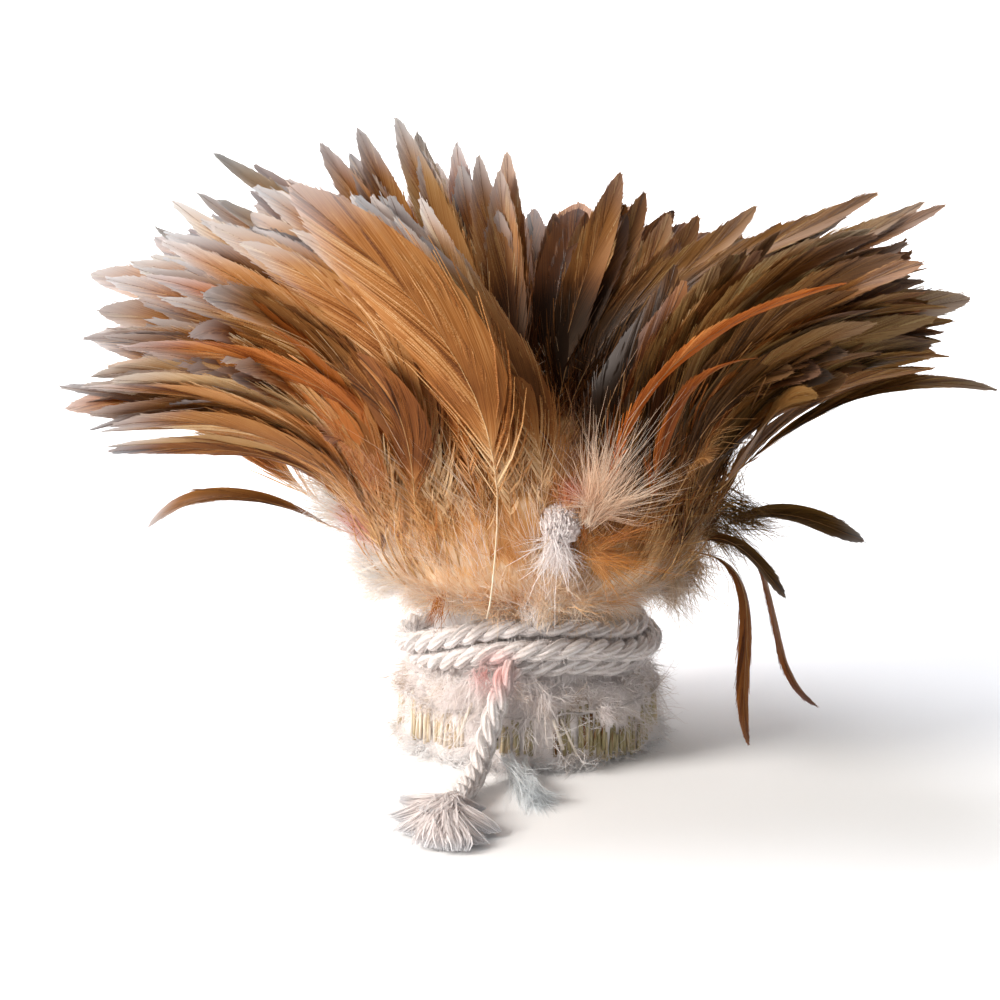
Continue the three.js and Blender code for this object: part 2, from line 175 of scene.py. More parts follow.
def linked(name: str, data: bpy.types.ID) -> Thing:
    """Puts a mesh, a light or a camera in the scene.

    Args:
        name: The object's name.
        data: What it shows.

    Returns:
        The object.
    """
    made = bpy.data.objects.new(name, data)
    bpy.context.scene.collection.objects.link(made)
    return made


# Camera and light


@dataclass
class Studio:
    """The pale floor, the soft light and the camera at the photograph's angle."""

    target: Point = (-6.7, 0.0, 59.7)
    distance: float = 900.0
    elevation: float = 16.0
    lens: float = 135.0
    floor_half: float = 1500.0
    floor_bend: float = 500.0

    def camera(self) -> None:
        """Places the camera."""
        data = bpy.data.cameras.new("camera")
        data.lens = self.lens
        data.sensor_width = 36.0
        data.clip_start = 0.01
        data.clip_end = 20.0
        camera = linked("camera", data)
        turn = math.radians(self.elevation)
        away = Vector((0.0, -math.cos(turn), math.sin(turn)))
        camera.location = (Vector(self.target) + self.distance * away) * MM
        camera.rotation_euler = (-away).to_track_quat("-Z", "Y").to_euler()
        bpy.context.scene.camera = camera

    def area(
        self,
        name: str,
        place: Point,
        size: float,
        power: float,
        tint: str,
        aimed_at: Point | None = None,
    ) -> None:
        """Adds one soft light.

        Args:
            name: The light's name.
            place: Where it stands, in millimetres.
            size: The length of its side, in millimetres.
            power: Its power in watts.
            tint: Its colour code.
            aimed_at: The point that it faces, or None for the bundle.
        """
        data = bpy.data.lights.new(name, "AREA")
        data.shape = "SQUARE"
        data.size = size * MM
        data.energy = power
        data.color = rgb(tint)[:3]
        light = linked(name, data)
        light.location = Vector(place) * MM
        aim = Vector(aimed_at or self.target) - Vector(place)
        light.rotation_euler = aim.to_track_quat("-Z", "Y").to_euler()

    def lights(self) -> None:
        """Lights the scene from the upper left, with a weak fill and a pale surround."""
        self.area("key", (-900.0, -380.0, 520.0), 420.0, 17.0, "FFFAF4")
        self.area("top", (-260.0, 420.0, 800.0), 600.0, 9.0, "F6F8FF")
        self.area("backdrop_left", (-700.0, 500.0, 420.0), 500.0, 12.0, "FFFFFF", (-300.0, 1400.0, 200.0))
        self.area("backdrop_right", (700.0, 500.0, 420.0), 500.0, 16.0, "FFFFFF", (300.0, 1400.0, 200.0))
        world = bpy.data.worlds.new("surround")
        world.use_nodes = True
        background = world.node_tree.nodes["Background"]
        background.inputs["Color"].default_value = rgb("F6F7F8")
        background.inputs["Strength"].default_value = 0.34
        bpy.context.scene.world = world
        bpy.context.scene.view_settings.view_transform = "Standard"

    def floor(self) -> None:
        """Lays the floor, which sweeps up behind the bundle."""
        grid = bmesh.new()
        bmesh.ops.create_grid(grid, x_segments=2, y_segments=60, size=self.floor_half)
        for vertex in grid.verts:
            past = max(0.0, vertex.co.y - self.floor_bend)
            vertex.co.z = past * past / (1.2 * self.floor_half)
        bmesh.ops.scale(grid, verts=grid.verts, vec=(MM, MM, MM))
        mesh = bpy.data.meshes.new("floor")
        grid.to_mesh(mesh)
        grid.free()
        shade_smooth(mesh)
        floor = linked("floor", mesh)
        mesh.materials.append(FloorFinish().made())


# Finishes


# Where pink dye has run in, and how far
STAINS: tuple[tuple[Point, float], ...] = (
    ((9.4, -42.0, 74.4), 5.5), ((-39.8, -20.0, 59.9), 9.0), ((-8.4, -30.0, 25.8), 8.0),
)


class Recipe:
    """Lays out the nodes of one material."""

    def __init__(self, name: str) -> None:
        """Starts a material with an empty tree.

        Args:
            name: The material's name.
        """
        self.material = bpy.data.materials.new(name)
        self.material.use_nodes = True
        self.tree = self.material.node_tree
        self.tree.nodes.clear()

    def add(self, kind: str, **settings: object) -> bpy.types.Node:
        """Adds a node and sets its options.

        Args:
            kind: The node's type name.
            **settings: Its options, by name.

        Returns:
            The node.
        """
        node = self.tree.nodes.new(kind)
        for option, value in settings.items():
            setattr(node, option, value)
        return node

    def feed(self, socket: Socket, value: object) -> None:
        """Links a socket to another one, or sets it to a plain value.

        Args:
            socket: The socket.
            value: What it gets.
        """
        if isinstance(value, Socket):
            self.tree.links.new(value, socket)
        else:
            socket.default_value = value

    def fed(self, kind: str, output: int | str, inputs: Inputs, **settings: object) -> Socket:
        """Adds a node with its inputs.

        Args:
            kind: The node's type name.
            output: The name or number of the output that is wanted.
            inputs: What its inputs get, by their names or numbers.
            **settings: Its options, by name.

        Returns:
            The output.
        """
        node = self.add(kind, **settings)
        for key, value in inputs.items():
            self.feed(node.inputs[key], value)
        return node.outputs[output]

    def attribute(self, name: str) -> Socket:
        """Reads a number that the mesh carries."""
        return self.add("ShaderNodeAttribute", attribute_name=name).outputs["Fac"]

    def place(self) -> Socket:
        """Gives the place on the piece, in its own coordinates."""
        return self.add("ShaderNodeTexCoord").outputs["Object"]

    def uv(self) -> Socket:
        """Gives the place along and across the piece's surface."""
        return self.add("ShaderNodeTexCoord").outputs["UV"]

    def runs(self) -> bpy.types.NodeOutputs:
        """Splits the place on the surface.

        Returns:
            X, across the piece, and Y, along it.
        """
        along = self.add("ShaderNodeSeparateXYZ")
        self.feed(along.inputs[0], self.uv())
        return along.outputs

    def stretched(self, vector: Socket, scale: Point) -> Socket:
        """Scales a coordinate by its own amount on each axis."""
        return self.fed("ShaderNodeMapping", "Vector", {"Vector": vector, "Scale": scale})

    def noise(self, vector: Socket, scale: float, detail: float = 3.0) -> Socket:
        """Gives a soft random pattern."""
        inputs = {"Vector": vector, "Scale": scale, "Detail": detail}
        return self.fed("ShaderNodeTexNoise", "Fac", inputs)

    def math(self, operation: str, first: object, second: object = 0.0) -> Socket:
        """Works out a number from two."""
        return self.fed("ShaderNodeMath", "Value", {0: first, 1: second}, operation=operation)

    def ranged(self, value: Socket, low: float, high: float, start: float, end: float) -> Socket:
        """Takes the range from low to high to the range from start to end."""
        inputs = {"Value": value, 1: low, 2: high, 3: start, 4: end}
        return self.fed("ShaderNodeMapRange", "Result", inputs, clamp=True)

    def stirred(self, value: Socket, pattern: Socket, swing: float, spread: float = 0.2) -> Socket:
        """Adds a pattern to a number, which swings it both ways."""
        return self.math("ADD", value, self.ranged(pattern, 0.5 - spread, 0.5 + spread, -swing, swing))

    def toned(self, swing: float) -> Socket:
        """Gives the tone that the mesh carries, with its streaks about it.

        Args:
            swing: How far the tone goes from the dullest streak to the palest.

        Returns:
            The tone.
        """
        streak = self.math("MULTIPLY_ADD", self.attribute("streak"), swing)
        streak.node.inputs[2].default_value = -0.5 * swing
        return self.math("ADD", self.attribute("tone"), streak)

    def ramp(self, value: Socket, stops: Stops) -> Socket:
        """Turns a number into a colour.

        Args:
            value: The number, from 0 to 1.
            stops: Places on the ramp with their colour codes.

        Returns:
            The colour socket.
        """
        node = self.add("ShaderNodeValToRGB")
        self.feed(node.inputs["Fac"], value)
        elements = node.color_ramp.elements
        while len(elements) < len(stops):
            elements.new(0.5)
        for element, stop in zip(elements, stops):
            element.position = stop[0]
        for element, stop in zip(elements, stops):
            element.color = rgb(stop[1])
        return node.outputs["Color"]

    def blend(self, share: object, first: object, second: object) -> Socket:
        """Mixes two colours."""
        inputs = {"Factor": share, 6: first, 7: second}
        return self.fed("ShaderNodeMix", 2, inputs, data_type="RGBA", blend_type="MIX")

    def near(self, place: Socket, spot: Point, reach: float) -> Socket:
        """Tells how near a place is to a spot.

        Args:
            place: The place.
            spot: The spot, in millimetres.
            reach: How far from it the number falls to 0, in millimetres.

        Returns:
            A number that is 1 at the spot.
        """
        inputs = {0: place, 1: [MM * value for value in spot]}
        away = self.fed("ShaderNodeVectorMath", "Value", inputs, operation="DISTANCE")
        return self.ranged(away, 0.15 * reach * MM, reach * MM, 1.0, 0.0)

    def stained(self, colour: Socket, place: Socket, blush: str, strength: float) -> Socket:
        """Tints a colour where dye has run into the bundle.

        Args:
            colour: The colour.
            place: The place on the piece.
            blush: The colour code of the dye.
            strength: The share of dye at the middle of each stain.

        Returns:
            The stained colour.
        """
        for spot, reach in STAINS:
            share = self.math("MULTIPLY", self.near(place, spot, reach), strength)
            colour = self.blend(share, colour, rgb(blush))
        return colour

    def bump(self, height: Socket, strength: float, distance: float) -> Socket:
        """Turns a height into a bump, with the distance in millimetres."""
        inputs = {"Height": height, "Strength": strength, "Distance": distance * MM}
        return self.fed("ShaderNodeBump", "Normal", inputs)

    def surface(self, colour: object, roughness: object, **sockets: object) -> Socket:
        """Adds the main shader.

        Args:
            colour: The base colour.
            roughness: The roughness.
            **sockets: Other inputs, with _ for a space in their names.

        Returns:
            The shader socket.
        """
        inputs = {"Base Color": colour, "Roughness": roughness}
        inputs.update((name.replace("_", " "), value) for name, value in sockets.items())
        return self.fed("ShaderNodeBsdfPrincipled", "BSDF", inputs)

    def lit_through(self, shader: Socket, colour: Socket, share: float) -> Socket:
        """Lets a share of the light through, as thin barbs do."""
        through = self.fed("ShaderNodeBsdfTranslucent", "BSDF", {"Color": colour})
        return self.fed("ShaderNodeMixShader", "Shader", {"Fac": share, 1: shader, 2: through})

    def done(self, shader: Socket) -> Material:
        """Ends the tree in the output and gives the material."""
        self.feed(self.add("ShaderNodeOutputMaterial").inputs["Surface"], shader)
        return self.material


@dataclass(frozen=True)
class Finish:
    """A finish, whose material is made once and shared by the pieces that have it."""

    name: str = "finish"

    def made(self) -> Material:
        """Gives the material, and makes it on the first call."""
        return bpy.data.materials.get(self.name) or self.mixed_up(Recipe(self.name))

    def mixed_up(self, recipe: Recipe) -> Material:
        """Lays out the material's nodes, which each finish does in its own way."""
        raise NotImplementedError


@dataclass(frozen=True)
class FloorFinish(Finish):
    """Plain pale studio floor."""

    name: str = "studio_floor"

    def mixed_up(self, recipe: Recipe) -> Material:
        """Lays out the material's nodes.

        Args:
            recipe: The empty material.

        Returns:
            The finished material.
        """
        grain = recipe.noise(recipe.place(), 6.0)
        colour = recipe.ramp(grain, ((0.0, "F8F8F8"), (1.0, "FBFBFB")))
        return recipe.done(recipe.surface(colour, 0.8))


@dataclass(frozen=True)
class VaneFinish(Finish):
    """Silky barbs from umber to pale straw, with ember, olive and frosted ones."""

    name: str = "hackle_barbs"
    palette: Stops = (
        (0.0, "2E1506"), (0.28, "713C16"), (0.52, "A96B35"), (0.76, "CA9760"), (1.0, "E4C59A"),
    )
    ember: Stops = ((0.0, "82380E"), (0.5, "C2641C"), (1.0, "E0904A"))
    olive: Stops = ((0.0, "2A1C0B"), (0.5, "725228"), (1.0, "A98E58"))
    frost: str = "D0D8DF"
    through: float = 0.32

    def mixed_up(self, recipe: Recipe) -> Material:
        """Lays out the material's nodes.

        Args:
            recipe: The empty material.

        Returns:
            The finished material.
        """
        mottle = recipe.noise(recipe.place(), 60.0)
        fine = recipe.noise(recipe.stretched(recipe.uv(), (40.0, 380.0, 1.0)), 1.0, 3.0)
        shade = recipe.stirred(recipe.toned(0.46), mottle, 0.06)
        shade = recipe.stirred(shade, fine, 0.2, 0.25)
        colour = recipe.ramp(shade, self.palette)
        colour = recipe.blend(recipe.attribute("olive"), colour, recipe.ramp(shade, self.olive))
        colour = recipe.blend(recipe.attribute("ember"), colour, recipe.ramp(shade, self.ember))
        frosted = recipe.blend(0.2, rgb(self.frost), colour)
        colour = recipe.blend(recipe.attribute("frost"), colour, frosted)
        shader = recipe.surface(
            colour, 0.42, Specular_IOR_Level=0.32, Specular_Tint=rgb("FFE2C4"), Sheen_Weight=0.06,
            Sheen_Roughness=0.4, Sheen_Tint=rgb("FFE2C4"),
        )
        return recipe.done(recipe.lit_through(shader, colour, self.through))


@dataclass(frozen=True)
class ShaftFinish(Finish):
    """The pale horn of a shaft, browner towards the tip."""

    name: str = "hackle_shaft"
    palette: Stops = ((0.0, "EFE2CA"), (0.35, "D3A66C"), (0.65, "9C6A38"), (1.0, "5C3A1C"))
    brown_at: float = 130.0

    def mixed_up(self, recipe: Recipe) -> Material:
        """Lays out the material's nodes.

        Args:
            recipe: The empty material.

        Returns:
            The finished material.
        """
        runs = recipe.runs()
        wear = recipe.noise(recipe.place(), 400.0)
        share = recipe.math("DIVIDE", runs["Y"], self.brown_at)
        share = recipe.math("ADD", share, recipe.attribute("tone"))
        colour = recipe.ramp(recipe.stirred(share, wear, 0.1), self.palette)
        bump = recipe.bump(wear, 0.3, 0.05)
        return recipe.done(recipe.surface(colour, 0.35, Normal=bump, Specular_IOR_Level=0.5))


@dataclass(frozen=True)
class DownFinish(Finish):
    """Fluffy down, from white to golden, stained pink in places."""

    name: str = "hackle_down"
    palette: Stops = (
        (0.0, "F1EAE7"), (0.25, "EAD2B4"), (0.5, "DCA76A"), (0.75, "C27F3A"), (1.0, "95541F"),
    )
    olive: str = "6E5327"
    frost: str = "E4E9EC"
    blush: str = "C9605C"
    through: float = 0.38
    matted: bool = False

    def mixed_up(self, recipe: Recipe) -> Material:
        """Lays out the material's nodes.

        Args:
            recipe: The empty material.

        Returns:
            The finished material.
        """
        place = recipe.place()
        mottle = recipe.noise(place, 110.0)
        extras = {}
        shade = recipe.stirred(recipe.toned(0.3), mottle, 0.1)
        if self.matted:
            fibres = recipe.noise(recipe.stretched(recipe.uv(), (150.0, 0.22, 1.0)), 1.0, 5.0)
            shade = recipe.stirred(shade, fibres, 0.16)
            extras["Normal"] = recipe.bump(fibres, 0.8, 0.5)
        colour = recipe.ramp(shade, self.palette)
        colour = recipe.blend(recipe.attribute("olive"), colour, rgb(self.olive))
        colour = recipe.blend(recipe.attribute("frost"), colour, rgb(self.frost))
        colour = recipe.stained(colour, place, self.blush, 0.7)
        shader = recipe.surface(
            colour, 0.75, Specular_IOR_Level=0.25, Sheen_Weight=0.3, Sheen_Roughness=0.5, **extras
        )
        through = 0.06 if self.matted else self.through
        return recipe.done(recipe.lit_through(shader, colour, through))


ROLL_PALETTE = ((0.0, "F7F0EE"), (0.25, "EFE5DF"), (0.5, "C2AB94"), (0.75, "8A6B4C"), (1.0, "6A4526"))


@dataclass(frozen=True)
class QuillFinish(Finish):
    """Cut quills of cream, tan and greenish yellow horn."""

    name: str = "cut_horn"
    palette: Stops = (
        (0.0, "E6DACB"), (0.3, "CDB796"), (0.6, "B7AA84"), (0.85, "998D66"), (1.0, "7A5228"),
    )

    def mixed_up(self, recipe: Recipe) -> Material:
        """Lays out the material's nodes.

        Args:
            recipe: The empty material.

        Returns:
            The finished material.
        """
        place = recipe.place()
        wear = recipe.noise(recipe.stretched(place, (1.0, 1.0, 0.25)), 700.0)
        colour = recipe.ramp(recipe.stirred(recipe.attribute("tone"), wear, 0.2), self.palette)
        bump = recipe.bump(wear, 0.5, 0.15)
        return recipe.done(recipe.surface(colour, 0.42, Normal=bump, Specular_IOR_Level=0.45))


@dataclass(frozen=True)
class CottonFinish(Finish):
    """Undyed cotton, whose yarns show as fine ridges that wind along each strand, with painted
    shade in the grooves between them.
    """

    name: str = "cotton_yarn"
    palette: Stops = ((0.0, "A4978E"), (0.4, "D1C7C2"), (0.75, "E5DDDA"), (1.0, "F0EBE9"))
    blush: str = "D0736C"
    frost: str = "C3CDD6"
    loose: bool = False
    through: float = 0.4
    yarns_round: float = 7.0
    yarns_along: float = 0.9

    def mixed_up(self, recipe: Recipe) -> Material:
        """Lays out the material's nodes.

        Args:
            recipe: The empty material.

        Returns:
            The finished material.
        """
        place = recipe.place()
        grime = recipe.noise(place, 220.0)
        runs = recipe.runs()
        turn = recipe.math("MULTIPLY", runs["X"], FULL_TURN * self.yarns_round)
        drift = recipe.math("MULTIPLY", runs["Y"], self.yarns_along)
        ridge = recipe.math("SINE", recipe.math("ADD", turn, drift))
        fluff = recipe.noise(place, 2600.0, 4.0)
        height = recipe.math("ADD", recipe.math("MULTIPLY", ridge, 0.3), fluff)
        # Painted shade: on the rope, the grooves between yarns are darker in colour, beside the bump.
        shade = recipe.ranged(ridge, -1.0, 0.4, 0.2, 0.7)
        if self.loose:
            shade = recipe.ranged(grime, 0.3, 0.7, 0.6, 0.9)
        shade = recipe.math("ADD", shade, recipe.ranged(grime, 0.35, 0.7, 0.2, -0.15))
        shade = recipe.math("ADD", shade, recipe.ranged(fluff, 0.3, 0.7, 0.0, 0.2))
        colour = recipe.ramp(shade, self.palette)
        colour = recipe.stained(colour, place, self.blush, 0.6)
        if self.loose:
            colour = recipe.blend(recipe.attribute("frost"), colour, rgb(self.frost))
            shader = recipe.surface(colour, 0.9, Sheen_Weight=0.3, Specular_IOR_Level=0.15)
            return recipe.done(recipe.lit_through(shader, colour, self.through))
        bump = recipe.bump(height, 0.8, 0.45)
        return recipe.done(
            recipe.surface(colour, 0.9, Normal=bump, Sheen_Weight=0.3, Specular_IOR_Level=0.15)
        )


COTTON = CottonFinish()
LOOSE_COTTON = CottonFinish("cotton_lint", ((0.0, "DED2CE"), (1.0, "F8F2F0")), loose=True)


@dataclass(frozen=True)
class DarkHairFinish(Finish):
    """One nearly black hair."""

    name: str = "dark_hair"

    def mixed_up(self, recipe: Recipe) -> Material:
        """Lays out the material's nodes.

        Args:
            recipe: The empty material.

        Returns:
            The finished material.
        """
        wear = recipe.noise(recipe.place(), 900.0)
        colour = recipe.ramp(wear, ((0.0, "120D0A"), (1.0, "3A2C22")))
        return recipe.done(recipe.surface(colour, 0.5))


# Mesh making


def shade_smooth(mesh: Mesh) -> None:
    """Shades every face of a mesh smooth."""
    mesh.polygons.foreach_set("use_smooth", np.ones(len(mesh.polygons), bool))


def strip(steps: int, columns: int = 1) -> Shape:
    """Makes a flat strip of width 1 along Z, from 0 to 1.

    Args:
        steps: The number of rows of faces along it.
        columns: The number of faces across it.

    Returns:
        The strip.
    """
    made = bmesh.new()
    bmesh.ops.create_grid(made, x_segments=columns, y_segments=steps, size=0.5)
    for vertex in made.verts:
        vertex.co = (vertex.co.x, 0.0, vertex.co.y + 0.5)
    return made


def rod(sides: int, steps: int) -> Shape:
    """Makes a closed round rod of diameter 1 along Z, from 0 to 1.

    Args:
        sides: The number of sides.
        steps: The number of rows of faces along it.

    Returns:
        The rod.
    """
    made = bmesh.new()
    bmesh.ops.create_cone(made, cap_ends=True, segments=sides, radius1=0.5, radius2=0.5, depth=1.0)
    rise = [e for e in made.edges if abs(e.verts[0].co.z - e.verts[1].co.z) > 0.5]
    if steps > 1:
        bmesh.ops.subdivide_edges(made, edges=rise, cuts=steps - 1)
    bmesh.ops.translate(made, verts=made.verts, vec=(0.0, 0.0, 0.5))
    return made


def copies(name: str, shape: Shape, count: int) -> tuple[Mesh, Array]:
    """Joins copies of a small shape in one mesh, one after another.

    Args:
        name: The mesh's name.
        shape: The shape, which is freed.
        count: How many copies there are.

    Returns:
        The mesh, and the shape's own vertices, which each copy repeats in the same order.
    """
    rest = np.array([tuple(vertex.co) for vertex in shape.verts])
    single = bpy.data.meshes.new(name)
    shape.to_mesh(single)
    shape.free()
    carrier = linked(name, single)
    array = carrier.modifiers.new("copies", "ARRAY")
    array.count = count
    array.use_relative_offset = False
    graph = bpy.context.evaluated_depsgraph_get()
    mesh = bpy.data.meshes.new_from_object(carrier.evaluated_get(graph))
    bpy.data.objects.remove(carrier)
    bpy.data.meshes.remove(single)
    return mesh, rest


@dataclass
class Dress:
    """What each vertex of a mesh carries for its finish."""

    tone: Array | float = 0.5
    streak: Array | float = 0.5
    ember: Array | float = 0.0
    olive: Array | float = 0.0
    frost: Array | float = 0.0

    def put_on(self, mesh: Mesh, shape: tuple[int, ...]) -> None:
        """Writes the numbers on a mesh.

        Args:
            mesh: The mesh.
            shape: The shape of the arrays that together have one value for each vertex.
        """
        for name in ("tone", "streak", "ember", "olive", "frost"):
            values = np.broadcast_to(getattr(self, name), shape)
            layer = mesh.attributes.new(name, "FLOAT", "POINT")
            layer.data.foreach_set("value", values.ravel().astype(np.float32))


def laid_out(mesh: Mesh, places: Array, across: Array, along: Array) -> None:
    """Moves a mesh's vertices to their places and writes its UV map.

    Args:
        mesh: The mesh.
        places: The place of each vertex, in millimetres.
        across: The first UV coordinate of each vertex.
        along: The second one.
    """
    places[..., 2] = np.maximum(places[..., 2], FLOOR_GAP)
    mesh.vertices.foreach_set("co", (places * MM).ravel().astype(np.float32))
    loops = np.empty(len(mesh.loops), np.int32)
    mesh.loops.foreach_get("vertex_index", loops)
    uv = np.stack([np.ravel(across), np.ravel(along)], -1)[loops]
    layer = mesh.uv_layers.get("UVMap") or mesh.uv_layers.new(name="UVMap")
    layer.data.foreach_set("uv", uv.ravel().astype(np.float32))
    shade_smooth(mesh)
    mesh.update()


@dataclass
class Lines:
    """Lines sampled alike, with the frame of each sample, in millimetres.

    The arrays have one row for each line and one column for each sample.
    """

    points: Array
    tangents: Array
    sides: Array
    normals: Array
    lengths: Array

    @classmethod
    def through(cls, points: Array, outward: Array, roll: Array | float = 0.0) -> Lines:
        """Carries a first outward normal along lines without twist.

        Args:
            points: The samples of each line.
            outward: The first normal of each line, roughly.
            roll: Radians that each line's frame is turned by at its far end.

        Returns:
            The lines with their frames.
        """
        tangents = unit(np.gradient(points, axis=1))
        normals = np.empty_like(points)
        normal = outward
        for step in range(points.shape[1]):
            tangent = tangents[:, step]
            normal = unit(normal - tangent * np.sum(normal * tangent, -1, keepdims=True))
            normals[:, step] = normal
        share = np.linspace(0.0, 1.0, points.shape[1])[None, :, None]
        turn = np.reshape(np.broadcast_to(roll, len(points)), (-1, 1, 1)) * share
        normals = np.cos(turn) * normals + np.sin(turn) * np.cross(tangents, normals)
        steps = np.linalg.norm(np.diff(points, axis=1), axis=-1)
        return cls(points, tangents, np.cross(tangents, normals), normals, steps.sum(1))

    def at(self, share: Array) -> tuple[Array, Array, Array]:
        """Gives the point, the side and the normal at shares of each line.

        Args:
            share: The shares, with one row for each line. Past 1 a line goes straight on.

        Returns:
            The points, sides and normals.
        """
        last = self.points.shape[1] - 1
        spot = np.clip(share, 0.0, 1.0) * last
        low = np.minimum(spot.astype(int), last - 1)
        part = (spot - low)[..., None]
        rows = aligned(np.arange(len(self.points)), share)

        def read(values: Array) -> Array:
            """Reads the samples on both sides of each spot and mixes them."""
            return values[rows, low] * (1.0 - part) + values[rows, low + 1] * part

        past = np.maximum(share - 1.0, 0.0) * aligned(self.lengths, share)
        ends = self.tangents[:, -1].reshape(len(self.points), *[1] * (share.ndim - 1), 3)
        point = read(self.points) + past[..., None] * ends
        return point, read(self.sides), read(self.normals)


def length_of(line: Array) -> float:
    """Measures a line of points."""
    return float(np.linalg.norm(np.diff(line, axis=0), axis=-1).sum())


def evenly(points: Array, samples: int) -> Array:
    """Spaces the samples of lines evenly along their length.

    Args:
        points: The samples of each line.
        samples: How many samples each line gets.

    Returns:
        The new samples.
    """
    steps = np.linalg.norm(np.diff(points, axis=1), axis=-1)
    travelled = np.concatenate([np.zeros((len(points), 1)), np.cumsum(steps, 1)], 1)
    made = np.empty((len(points), samples, 3))
    for row, (line, run) in enumerate(zip(points, travelled)):
        wanted = np.linspace(0.0, run[-1], samples)
        made[row] = np.stack([np.interp(wanted, run, line[:, axis]) for axis in range(3)], -1)
    return made


def cubic(corners: Array, t: Array) -> Array:
    """Gives points on cubic curves.

    Args:
        corners: The four control points of each curve.
        t: The shares, which broadcast with one row for each curve.

    Returns:
        The points.
    """
    first, second, third, last = (corners[:, i, None, :] for i in range(4))
    start = (1 - t) ** 3 * first + 3 * (1 - t) ** 2 * t * second
    return start + 3 * (1 - t) * t**2 * third + t**3 * last


def bezier(corners: Array, samples: int) -> Array:
    """Samples cubic curves.

    Args:
        corners: The four control points of each curve.
        samples: How many samples each curve gets.

    Returns:
        The samples, evenly spaced.
    """
    return evenly(cubic(corners, np.linspace(0.0, 1.0, 4 * samples)[None, :, None]), samples)


def catmull_rom(route: Sequence[Point], samples: int, closed: bool = False) -> Array:
    """Samples the smooth curve through a route's points.

    Args:
        route: The points.
        samples: How many samples the curve gets.
        closed: Whether the curve comes back to its first point.

    Returns:
        The samples, evenly spaced, as one line.
    """
    points = np.array(route, float)
    if closed:
        padded = np.concatenate([points[-1:], points, points[:2]])
    else:
        padded = np.concatenate([2 * points[:1] - points[1:2], points, 2 * points[-1:] - points[-2:-1]])
    t = np.linspace(0.0, 1.0, 24, endpoint=False)[:, None]
    runs = []
    for before, start, end, after in zip(padded, padded[1:], padded[2:], padded[3:]):
        runs.append(
            0.5
            * (
                2 * start
                + (end - before) * t
                + (2 * before - 5 * start + 4 * end - after) * t**2
                + (3 * start - before - 3 * end + after) * t**3
            )
        )
    return evenly(np.concatenate([*runs, padded[-2:-1]])[None], samples)


def hairs(
    name: str,
    shape: Shape,
    curves: Array,
    facing: Array,
    width: Array | float,
    point: float = 0.25,
) -> tuple[Mesh, Array]:
    """Bends copies of a strip or rod along short curves.

    Args:
        name: The mesh's name.
        shape: The strip or rod.
        curves: The four control points of each curve.
        facing: The direction that each strip's flat side faces, roughly.
        width: The width at the root.
        point: The share of the width that is left at the tip.

    Returns:
        The mesh, and the share of the length at each vertex of each copy.
    """
    mesh, rest = copies(name, shape, len(curves))
    t = rest[:, 2][None, :, None]
    first, second, third, last = (curves[:, i, None, :] for i in range(4))
    ahead = unit(
        (1 - t) ** 2 * (second - first) + 2 * (1 - t) * t * (third - second) + t**2 * (last - third)
    )
    side = unit(np.cross(ahead, facing[:, None, :]))
    through = np.cross(side, ahead)
    size = np.reshape(np.broadcast_to(width, len(curves)), (-1, 1, 1))
    size = size * mixed(1.0, point, t**2)
    places = cubic(curves, t) + side * rest[:, 0][None, :, None] * size
    places = places + through * rest[:, 1][None, :, None] * size
    along = np.broadcast_to(rest[:, 2], (len(curves), len(rest)))
    laid_out(mesh, places, np.broadcast_to(rest[:, 0] + 0.5, along.shape), along)
    return mesh, along


def swept(name: str, lines: Lines, sides: int, steps: int, radius: Array) -> Mesh:
    """Lays closed rods along lines.

    Args:
        name: The mesh's name.
        lines: The lines.
        sides: The number of sides of each rod.
        steps: The number of rows of faces along it.
        radius: The radius at each line's start and end, as two columns.

    Returns:
        The mesh, with millimetres along each rod as the second UV coordinate.
    """
    mesh, rest = copies(name, rod(sides, steps), len(lines.points))
    share = np.broadcast_to(rest[:, 2], (len(lines.points), len(rest)))
    point, side, normal = lines.at(share)
    size = 2 * mixed(radius[:, :1], radius[:, 1:], share)[..., None]
    places = point + size * (side * rest[:, 0][None, :, None] + normal * rest[:, 1][None, :, None])
    turn = np.arctan2(rest[:, 1], rest[:, 0]) / FULL_TURN + 0.5
    along = share * lines.lengths[:, None]
    laid_out(mesh, places, np.broadcast_to(turn, share.shape), along)
    return mesh


def merged(name: str, meshes: Sequence[Mesh]) -> Mesh:
    """Joins meshes in one, each with a material slot of its own.

    Args:
        name: The new mesh's name.
        meshes: The meshes, which are removed.

    Returns:
        The new mesh.
    """
    whole = bmesh.new()
    for index, mesh in enumerate(meshes):
        mesh.polygons.foreach_set("material_index", np.full(len(mesh.polygons), index, np.int32))
        whole.from_mesh(mesh)
        bpy.data.meshes.remove(mesh)
    made = bpy.data.meshes.new(name)
    whole.to_mesh(made)
    whole.free()
    return made


def piece(
    name: str,
    mesh: Mesh,
    finishes: Sequence[Finish],
    nodes: Iterable[str] = (),
) -> Thing:
    """Makes a finished piece of a mesh.

    Args:
        name: The piece's name.
        mesh: Its mesh.
        finishes: The finish of each material slot.
        nodes: The nodes that it stands for.

    Returns:
        The piece, which rides with the bundle.
    """
    mesh.name = name
    made = linked(name, mesh)
    for finish in finishes:
        mesh.materials.append(finish.made())
    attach(made, BODY)
    if nodes:
        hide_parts(*nodes)
    log.info("%s: %d faces", name, len(mesh.polygons))
    return made


